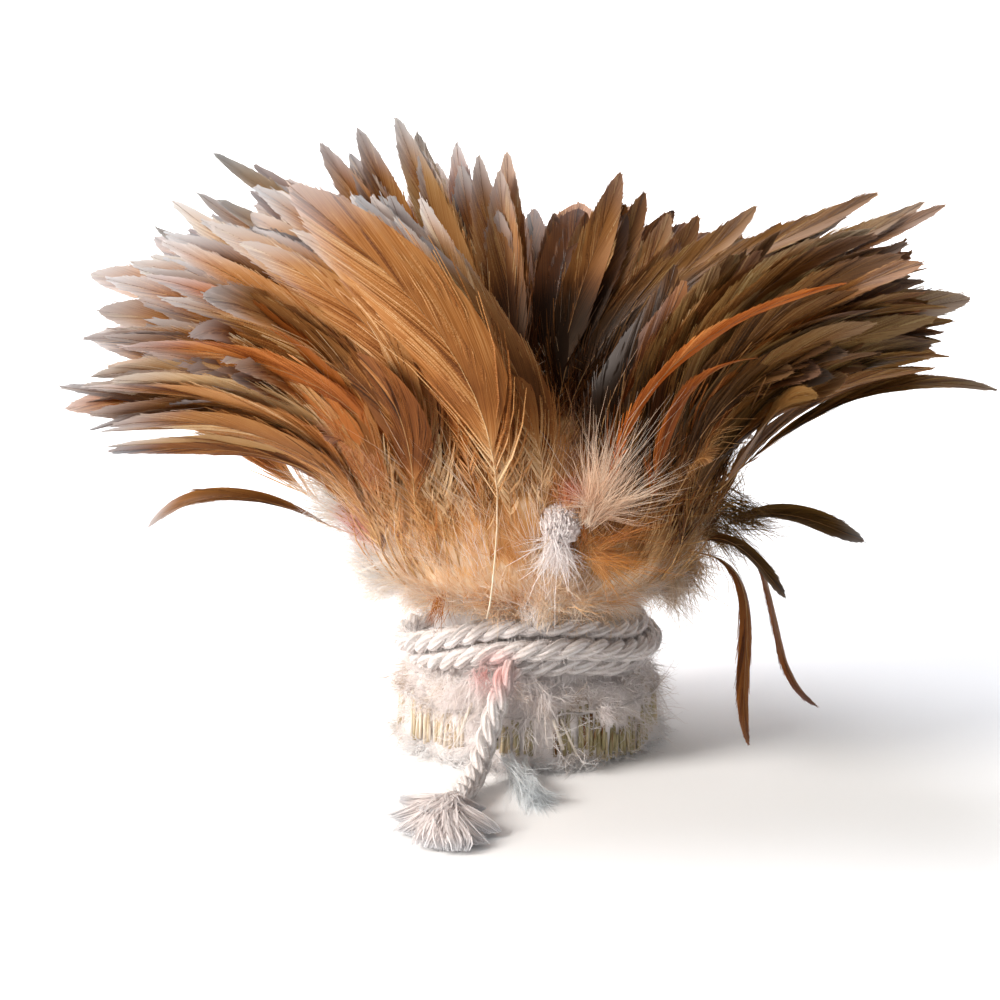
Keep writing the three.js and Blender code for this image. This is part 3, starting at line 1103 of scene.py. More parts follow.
def turned(profile: Sequence[Pair], segments: int) -> Shape:
    """Spins a profile of radius and height about Z and squeezes it to the oval.

    Args:
        profile: The points, which start and end on the axis.
        segments: The number of segments round the axis.

    Returns:
        The closed shape, in millimetres.
    """
    made = bmesh.new()
    verts = [made.verts.new((radius, 0.0, height)) for radius, height in profile]
    edges = [made.edges.new(pair) for pair in zip(verts, verts[1:])]
    bmesh.ops.spin(
        made, geom=verts + edges, cent=(0.0, 0.0, 0.0), axis=(0.0, 0.0, 1.0), angle=FULL_TURN,
        steps=segments, use_merge=True, use_duplicate=False,
    )
    bmesh.ops.remove_doubles(made, verts=made.verts, dist=1e-4)
    bmesh.ops.scale(made, verts=made.verts, vec=(1.0, DEPTH_SHARE, 1.0))
    bmesh.ops.recalc_face_normals(made, faces=made.faces)
    return made


def corners_of(mesh: Mesh) -> Array:
    """Reads the places of a mesh's vertices.

    Args:
        mesh: The mesh.

    Returns:
        The places, one a row.
    """
    places = np.empty(3 * len(mesh.vertices), np.float32)
    mesh.vertices.foreach_get("co", places)
    return places.reshape(-1, 3)


def oval_mesh(name: str, shape: Shape) -> Mesh:
    """Writes a turned shape as a mesh in metres, with a UV map round and up it.

    Args:
        name: The mesh's name.
        shape: The shape in millimetres, which is freed.

    Returns:
        The mesh.
    """
    mesh = bpy.data.meshes.new(name)
    shape.to_mesh(mesh)
    shape.free()
    places = corners_of(mesh).astype(float)
    turn = np.arctan2(places[:, 1], places[:, 0]) / FULL_TURN + 0.5
    laid_out(mesh, places, turn, places[:, 2])
    return mesh


# Feathers


@dataclass(frozen=True)
class VaneShape:
    """How the barbs of a kind of feather grow. Angles are in degrees from the shaft."""

    barbs: int = 100
    steps: int = 3
    first: float = 0.03
    last: float = 0.985
    root_angle: float = 28.0
    middle_angle: float = 10.5
    tip_angle: float = 6.5
    camber: float = 0.3
    ripple: float = 0.4
    pinch: float = 0.25
    clump: tuple[int, int] = (5, 22)
    frizz: float = 0.045
    cover: float = 2.2
    fluff_until: float = 0.26
    web: float = 0.9
    shaft_radius: Pair = (0.22, 0.05)
    web_rows: int = 26


class Kind(Enum):
    """The kinds of feather in the bundle, with how their barbs grow."""

    HACKLE = VaneShape()
    PACKED = VaneShape(barbs=60, steps=2, cover=2.4, clump=(3, 12), web_rows=14)
    SLENDER = VaneShape(
        barbs=110, root_angle=16.0, middle_angle=8.0, tip_angle=5.0, fluff_until=0.1, ripple=0.2
    )
    WISPY = VaneShape(
        barbs=120, root_angle=30.0, middle_angle=22.0, tip_angle=12.0, frizz=0.2, cover=0.9, web=0.0,
        fluff_until=0.95, clump=(2, 8),
    )


# The outline of a vane, and how its shaft bends
WIDEST_AT = 0.5
TAPER = 0.62
FOOT_SHARE = 0.5
RISE_SHARE = 0.42
REACH_SHARE = 0.36
RIPPLE_LENGTH = 4.2
LINE_SAMPLES = 33
RIM_SAMPLES = 201
REACH_TRIALS = 16

# The part of a shaft that is hidden in the down, and the least size of a barb
HIDDEN_DEPTHS = (9.0, 6.0, 3.0)
LEAST_BARB = 0.6
LEAST_BARB_WIDTH = 0.13
BETWEEN_SIDES = 0.06


def vane_share(along: Array) -> Array:
    """Gives the half width of a vane from foot to tip.

    Args:
        along: The share of the length.

    Returns:
        The half width, as a share of the widest.
    """
    rise = TAPER * WIDEST_AT / (1.0 - WIDEST_AT)
    most = WIDEST_AT**rise * (1.0 - WIDEST_AT) ** TAPER
    inside = np.clip(along, 1e-4, 1.0)
    vane = inside**rise * (1.0 - inside) ** TAPER / most
    return np.maximum(vane, FOOT_SHARE * (1.0 - inside))


@dataclass(frozen=True)
class Hollow:
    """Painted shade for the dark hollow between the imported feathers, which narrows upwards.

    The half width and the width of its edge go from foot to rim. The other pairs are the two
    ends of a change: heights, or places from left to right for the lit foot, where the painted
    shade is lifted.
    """

    axis: float = 9.0
    half_widths: Pair = (24.0, 12.0)
    edges: Pair = (48.0, 26.0)
    narrowing: Pair = (94.0, 114.0)
    foot: Pair = (72.0, 86.0)
    rim: Pair = (102.0, 124.0)
    lit_across: Pair = (-26.0, -4.0)
    lit_heights: Pair = (84.0, 98.0)
    lit_share: float = 0.85

    def painted_shade(self, places: Array) -> Array:
        """Tells how deep the painted shade of the hollow is at places.

        Args:
            places: The places, in millimetres.

        Returns:
            Numbers that are 0 where no shade is painted and 1 where the painted shade is deepest.
        """
        across, height = places[..., 0], places[..., 2]
        narrow = smooth(*self.narrowing, height)
        low = smooth(*self.foot, height) * (1.0 - smooth(*self.rim, height))
        lit = (1.0 - smooth(*self.lit_across, across)) * (1.0 - smooth(*self.lit_heights, height))
        low = low * (1.0 - self.lit_share * lit)
        start = mixed(*self.half_widths, narrow)
        from_axis = np.hypot(across - self.axis, places[..., 1] / DEPTH_SHARE)
        return low * (1.0 - smooth(start, start + mixed(*self.edges, narrow), from_axis))


HOLLOW = Hollow()


@dataclass
class Colours:
    """How a number of feathers are coloured, as one value for each."""

    tone: Array
    ember: Array
    olive: Array
    frost: Array


@dataclass
class Feathers:
    """A number of feathers of one kind, each from its root in the roll to its tip."""

    feet: Array
    tips: Array
    outward: Array
    lean: Array
    pitch: Array
    half_width: Array
    roll: Array
    colours: Colours
    shape: VaneShape = Kind.HACKLE.value
    roots: Array | None = None

    def lines(self) -> Lines:
        """Lays out the shafts, which leave their feet nearly upright.

        Returns:
            Their lines.
        """
        chord = np.linalg.norm(self.tips - self.feet, axis=-1, keepdims=True)
        lean, pitch = np.radians(self.lean)[:, None], np.radians(self.pitch)[:, None]
        leaving = self.outward * np.sin(lean) + UP * np.cos(lean)
        level = unit((self.tips - self.feet) * [1.0, 1.0, 0.0])
        arriving = level * np.cos(pitch) + UP * np.sin(pitch)
        corners = np.stack(
            [
                self.feet, self.feet + RISE_SHARE * chord * leaving,
                self.tips - REACH_SHARE * chord * arriving, self.tips,
            ],
            1,
        )
        return Lines.through(bezier(corners, LINE_SAMPLES), self.outward, self.roll)

    def clumps(self, rng: Dice) -> tuple[Array, Array]:
        """Groups the barbs of each side in clumps that hang together.

        Args:
            rng: The random numbers.

        Returns:
            The clump of each barb, and its place in the clump from -1 to 1.
        """
        count, barbs = 2 * len(self.feet), self.shape.barbs
        owner = np.empty((count, barbs), int)
        place = np.empty((count, barbs))
        for row in range(count):
            sizes = rng.integers(*self.shape.clump, size=barbs)
            ends = np.cumsum(sizes)
            owner[row] = np.searchsorted(ends, np.arange(barbs), side="right")
            size = sizes[owner[row]]
            start = ends[owner[row]] - size
            place[row] = 2.0 * (np.arange(barbs) - start + 0.5) / size - 1.0
        split = (len(self.feet), 2, barbs)
        return owner.reshape(split), place.reshape(split)

    def lift(self, edge: Array, run: Array, wave: Array) -> Array:
        """Gives how far a vane stands off its shaft's plane.

        Args:
            edge: The distance from the shaft, as a share of the widest half width.
            run: The distance along the shaft.
            wave: The start of the vane's ripple.

        Returns:
            The height, which is below 0 where the vane bends back.
        """
        ripple = self.shape.ripple * np.sin(run / RIPPLE_LENGTH + wave)
        return edge**2 * (ripple - self.shape.camber * aligned(self.half_width, edge))

    def dress(self, edge: Array, along: Array, streak: Array | float, places: Array) -> Dress:
        """Colours a vane by the distance from its shaft and the share of its length, with painted
        shade in the hollow.

        Args:
            edge: The distance from the shaft, as a share of the widest half width.
            along: The share of the length.
            streak: How pale the barbs are beside their neighbours, from 0 to 1.
            places: The place of each vertex, in millimetres.

        Returns:
            What the vertices carry.
        """
        chosen = (getattr(self.colours, field.name) for field in fields(Colours))
        tone, ember, olive, frost = (aligned(values, edge) for values in chosen)
        warm = 1.0 - smooth(0.05, 0.34, along)
        pale = smooth(0.76, 0.97, along + 0.1 * (edge - 0.5))
        # Painted shade: vanes in the hollow between the imported feathers are darkened.
        depth = HOLLOW.painted_shade(places).reshape(edge.shape)
        tone = tone + 0.26 * (along - 0.5) + 0.14 * (edge - 0.5)
        tone = tone + 0.72 * warm * np.clip(1.0 - 1.3 * olive, 0.0, 1.0) - 0.36 * depth
        ember = np.clip(ember + 0.06 * warm, 0.0, 1.0)
        return Dress(tone, streak, ember, olive * (1.0 - 0.5 * warm), frost * pale)

    def webs(self, name: str, lines: Lines, wave: Array) -> Mesh:
        """Makes the closed web under the barbs, one sheet for each feather.

        Args:
            name: The mesh's name.
            lines: The lines of the shafts.
            wave: The start of the ripple of each side.

        Returns:
            The mesh.
        """
        feathers = len(self.feet)
        mesh, rest = copies(name, strip(self.shape.web_rows, 4), feathers)
        start = 0.45 * self.shape.fluff_until
        share = np.broadcast_to(1.0 - (1.0 - start) * (1.0 - rest[:, 2]) ** 1.5, (feathers, len(rest)))
        grown = smooth(start, 1.3 * self.shape.fluff_until, share)
        width = self.shape.web * vane_share(share) * grown
        edge = 2 * rest[:, 0] * width
        side = (rest[:, 0] > 0).astype(int)
        run = share * lines.lengths[:, None]
        lift = self.lift(np.abs(edge), run, wave[:, side, 0, 0])
        point, across, normal = lines.at(share)
        half = self.half_width[:, None]
        places = point + across * (edge * half)[..., None] + normal * lift[..., None]
        slant = np.tan(np.radians(self.shape.middle_angle)) * lines.lengths[:, None] / half
        laid_out(mesh, places, 0.08 * share, 0.14 * (np.abs(edge) - slant * share))
        self.dress(np.abs(edge), share, 0.5, places).put_on(mesh, share.shape)
        return mesh

    def vanes(self, name: str, lines: Lines, wave: Array, rng: Dice) -> Mesh:
        """Makes the barbs, as strips that lie across the shafts' frames.

        Args:
            name: The mesh's name.
            lines: The lines of the shafts.
            wave: The start of the ripple of each side.
            rng: The random numbers.

        Returns:
            The mesh.
        """
        shape = self.shape
        feathers, barbs = len(self.feet), shape.barbs
        owner, place = self.clumps(rng)
        grid = (feathers, 2, barbs)

        def scatter(spread: float) -> Array:
            """Draws a number for each barb."""
            return rng.normal(0.0, spread, grid)

        def by_clump(spread: float) -> Array:
            """Draws a number for each clump."""
            return np.take_along_axis(scatter(spread), owner, 2)

        length = lines.lengths[:, None, None]
        share = np.linspace(shape.first, shape.last, barbs)[None, None, :]
        share = share + scatter(0.15 / barbs)
        fluff = 1.0 - smooth(0.3 * shape.fluff_until, shape.fluff_until, share)
        angle = mixed(shape.middle_angle, shape.root_angle, fluff)
        angle = mixed(angle, shape.tip_angle, smooth(0.55, 1.0, share))
        angle = angle + by_clump(0.7) + scatter(0.35) + fluff * scatter(6.0)
        angle = np.radians(np.clip(angle, 3.0, 85.0))
        start, bend = 1.22 * angle, 0.5 * angle
        mean = start - 0.5 * bend

        half = self.half_width[:, None, None] * (1.0 + by_clump(0.03) + scatter(shape.frizz))
        short, long = np.zeros(grid), np.full(grid, 8.0) * self.half_width[:, None, None]
        for _ in range(REACH_TRIALS):
            trial = 0.5 * (short + long)
            reach = share + trial * np.cos(mean) / length
            inside = trial * np.sin(mean) < half * vane_share(reach)
            short, long = np.where(inside, trial, short), np.where(inside, long, trial)
        size = short * (1.0 - 0.04 * place**2) * (1.0 + fluff * np.abs(scatter(0.35)))
        size = np.maximum(size, LEAST_BARB)

        mesh, rest = copies(name, strip(shape.steps), feathers * 2 * barbs)
        t = rest[:, 2]
        bent = np.maximum(bend, 1e-4)[..., None]
        opening = start[..., None]
        heading = opening - bent * t
        ahead = (np.sin(opening) - np.sin(heading)) / bent * size[..., None]
        aside = (np.cos(heading) - np.cos(opening)) / bent * size[..., None]

        spacing = length * (shape.last - shape.first) / barbs
        width = spacing * np.sin(mean) * shape.cover * (1.0 + scatter(0.12))
        width = np.maximum(width, LEAST_BARB_WIDTH) * (1.0 - 0.5 * fluff)
        width = width[..., None] * (1.0 - 0.6 * t**3) * rest[:, 0]
        tilt = 0.15 + 0.22 * place + scatter(0.12) + fluff * scatter(0.9)
        flat, raised = np.cos(tilt)[..., None] * width, np.sin(tilt)[..., None] * width

        pull = -place * shape.pinch * (1.0 + by_clump(0.3)) * spacing * 0.5 * np.mean(shape.clump)
        ahead = ahead + pull[..., None] * t**2 - flat * np.sin(heading)
        aside = np.maximum(aside, 0.0) + flat * np.cos(heading)
        edge = aside / np.maximum(self.half_width[:, None, None, None], 1e-6)
        run = share[..., None] * length[..., None] + ahead
        lift = self.lift(edge, run, wave)
        lift = lift + (by_clump(0.16) + scatter(0.05))[..., None] * edge
        lift = lift + raised + (fluff * scatter(1.3))[..., None] * t
        hand = np.array([-1.0, 1.0])[None, :, None, None]
        lift = lift - BETWEEN_SIDES * hand

        along = run / length[..., None]
        flatten = (feathers, -1)
        point, side, normal = lines.at(along.reshape(flatten))
        places = point + side * (hand * aside).reshape(flatten)[..., None]
        places = places + normal * lift.reshape(flatten)[..., None]
        laid_out(mesh, places, np.broadcast_to(t, run.shape), along)
        streak = 0.5 + by_clump(0.26) + scatter(0.22)
        self.dress(edge, along, streak[..., None], places).put_on(mesh, run.shape)
        return mesh

    def shafts(self, name: str, lines: Lines) -> Mesh:
        """Makes the shafts, each from inside the down, or from its own root, to its tip.

        Args:
            name: The mesh's name.
            lines: The lines that show.

        Returns:
            The mesh.
        """
        if self.roots is None:
            inward = unit(lines.tangents[:, 0] + 0.6 * self.outward)
            hidden = self.feet[:, None] - inward[:, None] * np.array(HIDDEN_DEPTHS)[:, None]
        else:
            hidden = self.roots
        run = np.concatenate([hidden, lines.points], 1)
        whole = Lines.through(evenly(run, 40), self.outward)
        radius = np.tile(self.shape.shaft_radius, (len(self.feet), 1))
        mesh = swept(name, whole, sides=4, steps=16, radius=radius)
        Dress(tone=0.36 if self.roots is None else -0.1).put_on(mesh, (len(mesh.vertices),))
        return mesh

    def build(self, name: str, slot: str, nodes: Iterable[str] = ()) -> Thing:
        """Builds the feathers as one piece.

        Args:
            name: The piece's name.
            slot: Not used.
            nodes: The nodes that they stand for.

        Returns:
            The piece.
        """
        rng = generator(name)
        lines = self.lines()
        wave = rng.uniform(0.0, FULL_TURN, (len(self.feet), 2, 1, 1))
        parts = [self.vanes(name, lines, wave, rng), self.shafts(name + "_shaft", lines)]
        finishes = [VaneFinish(), ShaftFinish()]
        if self.shape.web:
            parts.append(self.webs(name + "_web", lines, wave))
            finishes.append(VaneFinish())
        return piece(name, merged(name, parts), finishes, nodes)


@dataclass(frozen=True)
class Hackle:
    """One feather as the part's source gives it, with what its colouring departs by."""

    tip: Point
    pitch: float
    width: float
    azimuth: float | None = None
    foot: Pair | None = None
    lean: float | None = None
    shade: float = 0.0
    ember: float = 0.0
    olive: float = 0.0
    frost: float | None = None
    kind: Kind = Kind.HACKLE
    roots: Sequence[Point] = ()


def natural_colours(tips: Array, rng: Dice) -> Colours:
    """Colours feathers by where their tips are: golden left, caramel front, olive right. The
    darker olive right is partly painted shade, and tips in the hollow get painted shade.

    Args:
        tips: The tips of the feathers.
        rng: The random numbers.

    Returns:
        The colours.
    """
    count = len(tips)
    across, high = tips[:, 0], smooth(95.0, 140.0, tips[:, 2])
    # Tone falls and olive rises to the right: partly the feathers' own olive, partly painted shade.
    right = smooth(5.0, 85.0, across)
    left = 1.0 - smooth(-100.0, -30.0, across)
    # Painted shade: feathers whose tips stand in the central hollow are darkened.
    hollow = 1.0 - smooth(10.0, 32.0, np.abs(across - 10.0))
    top = high * np.exp(-(((across + 28.0) / 26.0) ** 2))
    tone = 0.43 + 0.08 * left - 0.04 * right - 0.08 * hollow + rng.normal(0.0, 0.08, count)
    tone = tone + 0.02 * left + 0.04 * high + 0.12 * top
    ember = np.clip(rng.normal(0.0, 0.08, count), 0.0, 0.3)
    ember = ember + 0.4 * (rng.uniform(0.0, 1.0, count) < 0.05)
    olive = np.clip(0.75 * right + rng.normal(0.1, 0.14, count), 0.0, 0.9)
    frost = 0.2 + 0.5 * left + 0.4 * high + 0.3 * top
    frost = frost * (1.0 - 0.8 * smooth(-20.0, 30.0, across))
    frost = frost + rng.normal(0.0, 0.06, count)
    return Colours(tone, ember, olive, np.clip(frost, 0.0, 0.95))


@dataclass
class Layer:
    """A layer of the rolled strip: named feathers that leave the down at one height."""

    name: str
    foot: Pair
    lean: float
    slot: str
    hackles: Sequence[Hackle]
    flank_roll: float = 38.0

    def build(self) -> None:
        """Builds each feather of the layer as a piece of its own."""
        for number, hackle in enumerate(self.hackles, 1):
            self.feather(f"{self.name}_hackle_{number:02d}", hackle)

    def feather(self, node: str, hackle: Hackle) -> None:
        """Builds one feather.

        Args:
            node: The node that it stands for.
            hackle: What the feather is like.
        """
        azimuth = math.atan2(hackle.tip[1], hackle.tip[0])
        if hackle.azimuth is not None:
            azimuth = math.radians(hackle.azimuth)
        tips = np.array([hackle.tip])
        colours = natural_colours(tips, generator(node + "_colour"))
        colours.tone = colours.tone + hackle.shade
        colours.ember = np.maximum(colours.ember, hackle.ember)
        colours.olive = np.maximum(colours.olive, hackle.olive)
        if hackle.frost is not None:
            colours.frost = np.array([hackle.frost])
        Feathers(
            feet=on_oval(azimuth, *(hackle.foot or self.foot))[None], tips=tips,
            outward=outward_at(azimuth)[None], lean=np.array([hackle.lean or self.lean]),
            pitch=np.array([hackle.pitch]), half_width=np.array([0.5 * hackle.width]),
            roll=np.array([math.radians(self.flank_roll) * math.cos(azimuth)]), colours=colours,
            shape=hackle.kind.value, roots=np.array([hackle.roots], float) if hackle.roots else None,
        ).build(node + "_feather", self.slot, [node])


LAYERS = (
    Layer(
        "outer",
        (47.8, 56.0),
        58.0,
        "hackle_dark",
        (
            Hackle((-90, -14, 57), -48, 7, azimuth=196, kind=Kind.SLENDER, olive=0.5, shade=0.05),
            Hackle((-96, 12, 78), -14, 13),
            Hackle((-70, 46, 70), -22, 17),
            Hackle((-28, 78, 68), -20, 18),
            Hackle((16, 84, 64), -24, 18),
            Hackle((58, 58, 60), -26, 17),
            Hackle(
                (71, 4, 6), -32, 5, 4, (43.8, 50.5), 92, -0.2, olive=1.0, frost=0.25, kind=Kind.SLENDER
            ),
            Hackle((79, -19, 55), -20, 8, -14, shade=-0.03, olive=1.0, frost=0.38, kind=Kind.SLENDER),
            Hackle((60, -28, 44), -52, 6, -33, shade=-0.1, olive=1.0, frost=0.2, kind=Kind.SLENDER),
            Hackle(
                (52, -30, 8), -62, 5, -21, (43.8, 50.5), 92, -0.14, olive=1.0, frost=0.1, kind=Kind.SLENDER
            ),
        ),
    ),
    Layer(
        "middle",
        (50.4, 68.0),
        46.0,
        "hackle_brown",
        (
            Hackle((-108, -18, 87), -8, 13, shade=0.05, ember=0.25),
            Hackle((-105, 12, 97), 5, 18, frost=0.8), Hackle((-88, 40, 98), 8, 19),
            Hackle((-52, 68, 96), 10, 20), Hackle((-8, 82, 94), 8, 20), Hackle((38, 74, 92), 5, 20),
            Hackle((80, 42, 90), 5, 19),
            Hackle((110.5, -8, 89), -12, 6, shade=0.1, frost=0.3, kind=Kind.SLENDER),
            Hackle((66, -34, 94), -5, 10, kind=Kind.SLENDER),
            Hackle((41, -50, 83), -12, 15, kind=Kind.WISPY),
            Hackle((-46, -50, 88), -5, 19, shade=0.04, ember=0.3, kind=Kind.WISPY),
        ),
    ),
    Layer(
        "inner",
        (39.0, 79.0),
        30.0,
        "hackle_tan",
        (
            Hackle((-100, -16, 110), 12, 18, shade=0.08, frost=0.75),
            Hackle((-105, 14, 112), 10, 19, frost=0.85),
            Hackle((-92, 42, 115), 20, 18, frost=0.85),
            Hackle((-64, 65, 117), 25, 18, frost=0.8),
            Hackle((-28, 78, 120), 25, 20, frost=0.7),
            Hackle((14, 80, 116), 25, 20),
            Hackle((54, 67, 111), 22, 20),
            Hackle((86, 42, 112), 22, 19),
            Hackle((103.5, -8, 111), 12, 17, shade=0.08, frost=0.2),
            Hackle((89.5, -31, 124.5), 20, 14),
            Hackle((71.5, -42, 122.5), 12, 3.6, -69, (51.0, 71.0), 5, shade=0.06, ember=0.9, frost=0.0),
            Hackle((51, -50, 107), 8, 5.5, -57, (51.5, 69.5), 7, shade=0.14, ember=0.7, frost=0.0),
            # This feather's low tone is painted shade for the dark gap where its tip ends.
            Hackle((-39, -37, 105), 46, 14, 239, (51.0, 69.0), 3, shade=-0.16, frost=0.0),
            Hackle(
                (-54, -36, 143.5), 40, 21, 262, (51.5, 70.0), 4, shade=-0.03, frost=0.6,
                roots=((-9.8, -30.6, 39.6), (-8.9, -38.0, 46.0), (-8.2, -43.0, 54.0), (-7.6, -45.0, 62.0)),
            ),
            Hackle((-74, -36, 118), 15, 20, shade=0.02),
        ),
    ),
)


class Side(Enum):
    """The side that feathers sweep to, seen from the front."""

    LEFT = -1
    RIGHT = 1


@dataclass
class Sweep:
    """Long feathers that rise from the front of the down and fall to one side.

    The rim and the foot's azimuth, height and lean go from the lowest tips to the highest.
    """

    name: str
    side: Side
    rim: Sequence[Point]
    azimuths: Pair
    feathers: int = 64
    radius: float = 46.5
    heights: Pair = (57.0, 70.0)
    pitches: Pair = (-8.0, 50.0)
    width: float = 10.0
    shade: float = 0.0

    def build(self) -> None:
        """Builds the feathers as one piece."""
        rng = generator(self.name)
        count = self.feathers
        rim = catmull_rom(self.rim, RIM_SAMPLES)[0]
        share = (np.arange(count) + rng.uniform(-0.5, 0.5, count)) / (count - 1)
        share = np.clip(rng.permutation(share), 0.0, 1.0)
        azimuth = np.radians(mixed(*self.azimuths, share) + rng.normal(0.0, 5.0, count))
        height = mixed(*self.heights, share) + rng.uniform(-7.0, 7.0, count)
        radius = self.radius - 0.012 * (height - 66.0) ** 2 + rng.uniform(-2.5, 1.0, count)
        feet = on_oval(azimuth, radius, height)
        tips = rim[np.rint(share * (RIM_SAMPLES - 1)).astype(int)]
        reach = np.clip(1.0 - np.abs(rng.normal(0.0, 0.1, (count, 1))), 0.7, 1.0)
        tips = feet + (tips - feet) * reach + rng.normal(0.0, 1.0, (count, 3)) * [2.0, 5.0, 3.5]
        colours = natural_colours(tips, rng)
        colours.tone = colours.tone + self.shade + rng.normal(0.0, 0.09, count)
        colours.olive = np.clip(colours.olive + rng.normal(0.04, 0.1, count), 0.0, 0.9)
        Feathers(
            feet=feet, tips=tips, outward=outward_at(azimuth), lean=rng.normal(6.0, 4.0, count),
            pitch=mixed(*self.pitches, share) + rng.normal(0.0, 6.0, count),
            half_width=0.5 * self.width * rng.uniform(0.7, 1.15, count),
            roll=rng.normal(0.0, 0.3, count) - 0.25 * self.side.value, colours=colours,
        ).build(self.name, "hackle_brown")


SWEEPS = (
    Sweep(
        "front_left_sweep",
        Side.LEFT,
        (
            (-106, -20, 84), (-103, -22, 97), (-99, -20, 108), (-95, -14, 117), (-88, -10, 124),
            (-79, -6, 131), (-68, -8, 132), (-56, -14, 130), (-46, -10, 134), (-34, -4, 135),
            (-24, 2, 134),
        ),
        (-152.0, -92.0),
        feathers=112,
    ),
    Sweep(
        "front_right_sweep",
        Side.RIGHT,
        (
            (98, -14, 97), (100, -14, 106), (94, -20, 116), (86, -22, 124), (77, -14, 126),
            (66, -8, 124), (55, -4, 121), (44, 0, 118), (35, 4, 117),
        ),
        (-28.0, -68.0),
        feathers=86,
        shade=-0.02,
    ),
)


@dataclass(frozen=True)
class Tuft:
    """The tips of a tuft of inner feathers, how far they point up, and how much paler they are."""

    tips: Sequence[Point]
    pitch: float
    shade: float = 0.0


@dataclass
class Heart:
    """The heart of the bundle: tufts that stand by turns in an outer and an inner ring."""

    feet: tuple[Pair, ...] = ((23.0, 77.6), (12.0, 76.0))
    lean: float = 16.0
    width: float = 10.0
    roll: float = 34.0
    between: int = 3
    tufts: Sequence[Tuft] = (
        Tuft(((97, -8, 133.5), (93, 0, 132.5)), 31), Tuft(((83, 9, 133), (75, 9, 127)), 28),
        Tuft(((68.5, 31, 120.5), (62, 34, 120.5)), 46), Tuft(((55.7, 32, 125), (49, 35, 118)), 41),
        Tuft(((42.5, 50, 119), (35.5, 52, 119)), 52), Tuft(((29, 44, 126), (23, 44, 131)), 53),
        Tuft(((15, 58, 118), (7, 58, 118)), 62), Tuft(((-5, 45, 136), (-12, 45, 135)), 66),
        Tuft(((-17.5, 51, 137), (-22.5, 51, 132)), 64), Tuft(((-27, 38, 142), (-32, 37, 146)), 62),
        Tuft(((-41.5, 39, 143), (-50.4, 35, 140)), 52), Tuft(((-66, 23, 137), (-79, 18, 131)), 38),
        Tuft(((-88, 2, 126), (-73, -10, 146)), 36, 0.3),
    )

    def build(self) -> None:
        """Builds each tuft as a piece."""
        for index, tuft in enumerate(self.tufts):
            self.tuft(f"heart_tuft_{index + 1:02d}", tuft, self.feet[index % 2])

    def tuft(self, node: str, tuft: Tuft, foot: Pair) -> None:
        """Builds one tuft: its two named feathers, and shorter ones between them.

        Args:
            node: The node that it stands for.
            tuft: The tips.
            foot: The radius and the height of the foot.
        """
        rng = generator(node + "_colour")
        named = np.array(tuft.tips, float)
        azimuth = math.atan2(named[:, 1].sum(), named[:, 0].sum())
        start = on_oval(azimuth, *foot)
        share = rng.uniform(0.1, 0.9, (self.between, 1))
        short = rng.uniform(0.8, 0.95, (self.between, 1))
        between = mixed(named[0], named[1], share)
        between = start + (between - start) * short + rng.normal(0.0, 2.0, between.shape)
        tips = np.concatenate([named, between])
        count = len(tips)
        colours = natural_colours(tips, rng)
        colours.tone = colours.tone + tuft.shade
        colours.frost = np.clip(colours.frost + tuft.shade, 0.0, 0.95)
        Feathers(
            feet=start + rng.normal(0.0, 0.8, (count, 3)), tips=tips,
            outward=np.tile(outward_at(azimuth), (count, 1)), lean=np.full(count, self.lean),
            pitch=np.full(count, tuft.pitch) + rng.normal(0.0, 3.0, count),
            half_width=np.full(count, 0.5 * self.width),
            roll=np.full(count, math.radians(self.roll) * np.sign(math.cos(azimuth))), colours=colours,
        ).build(node + "_feathers", "hackle_brown", [node])


@dataclass
class Crown:
    """Packed feathers between two layers, whose tips follow a rim."""

    node: str
    foot: Pair
    lean: float
    pitch: float
    slot: str
    rim: Sequence[Point]
    feathers: int = 174
    parts: int = 3
    width: float = 11.5
    shade: float = -0.06
    parting: float = 64.0

    def build(self) -> None:
        """Builds the crown in a few pieces, of which the first stands for the node."""
        rng = generator(self.node)
        rim = catmull_rom(self.rim, 721, closed=True)[0, :-1]
        rim = rim[np.abs(np.degrees(np.arctan2(rim[:, 1], rim[:, 0])) + 90.0) > self.parting]
        spots = (np.arange(self.feathers) + rng.uniform(-0.4, 0.4, self.feathers)) / self.feathers
        tips = rim[(spots * len(rim)).astype(int) % len(rim)]
        azimuth = np.arctan2(tips[:, 1], tips[:, 0])
        radius = self.foot[0] * rng.uniform(0.72, 1.08, self.feathers)
        feet = on_oval(azimuth, radius, self.foot[1] + rng.uniform(-5.0, 0.0, self.feathers))
        reach = 1.0 - np.abs(rng.normal(0.0, 0.1, (self.feathers, 1)))
        least = np.where(tips[:, 1:2] < 5.0, 0.94, 0.76)
        tips = feet + (tips - feet) * np.clip(reach, least, 1.0)
        tips[:, 2] += rng.normal(0.0, 2.5, self.feathers)
        colours = natural_colours(tips, rng)
        colours.tone = colours.tone + self.shade + rng.normal(0.0, 0.07, self.feathers)
        wind = azimuth + rng.normal(0.0, 0.12, self.feathers)
        whole = Feathers(
            feet=feet, tips=tips, outward=outward_at(wind),
            lean=self.lean + rng.normal(0.0, 8.0, self.feathers),
            pitch=self.pitch + rng.normal(0.0, 9.0, self.feathers),
            half_width=0.5 * self.width * rng.uniform(0.75, 1.15, self.feathers),
            roll=np.radians(38.0) * np.cos(azimuth) + rng.normal(0.0, 0.35, self.feathers),
            colours=colours, shape=Kind.PACKED.value,
        )
        for part in range(self.parts):
            chosen = np.arange(part, self.feathers, self.parts)
            nodes = [self.node] if part == 0 else []
            picked(whole, chosen).build(f"{self.node}_feathers_{part + 1}", self.slot, nodes)


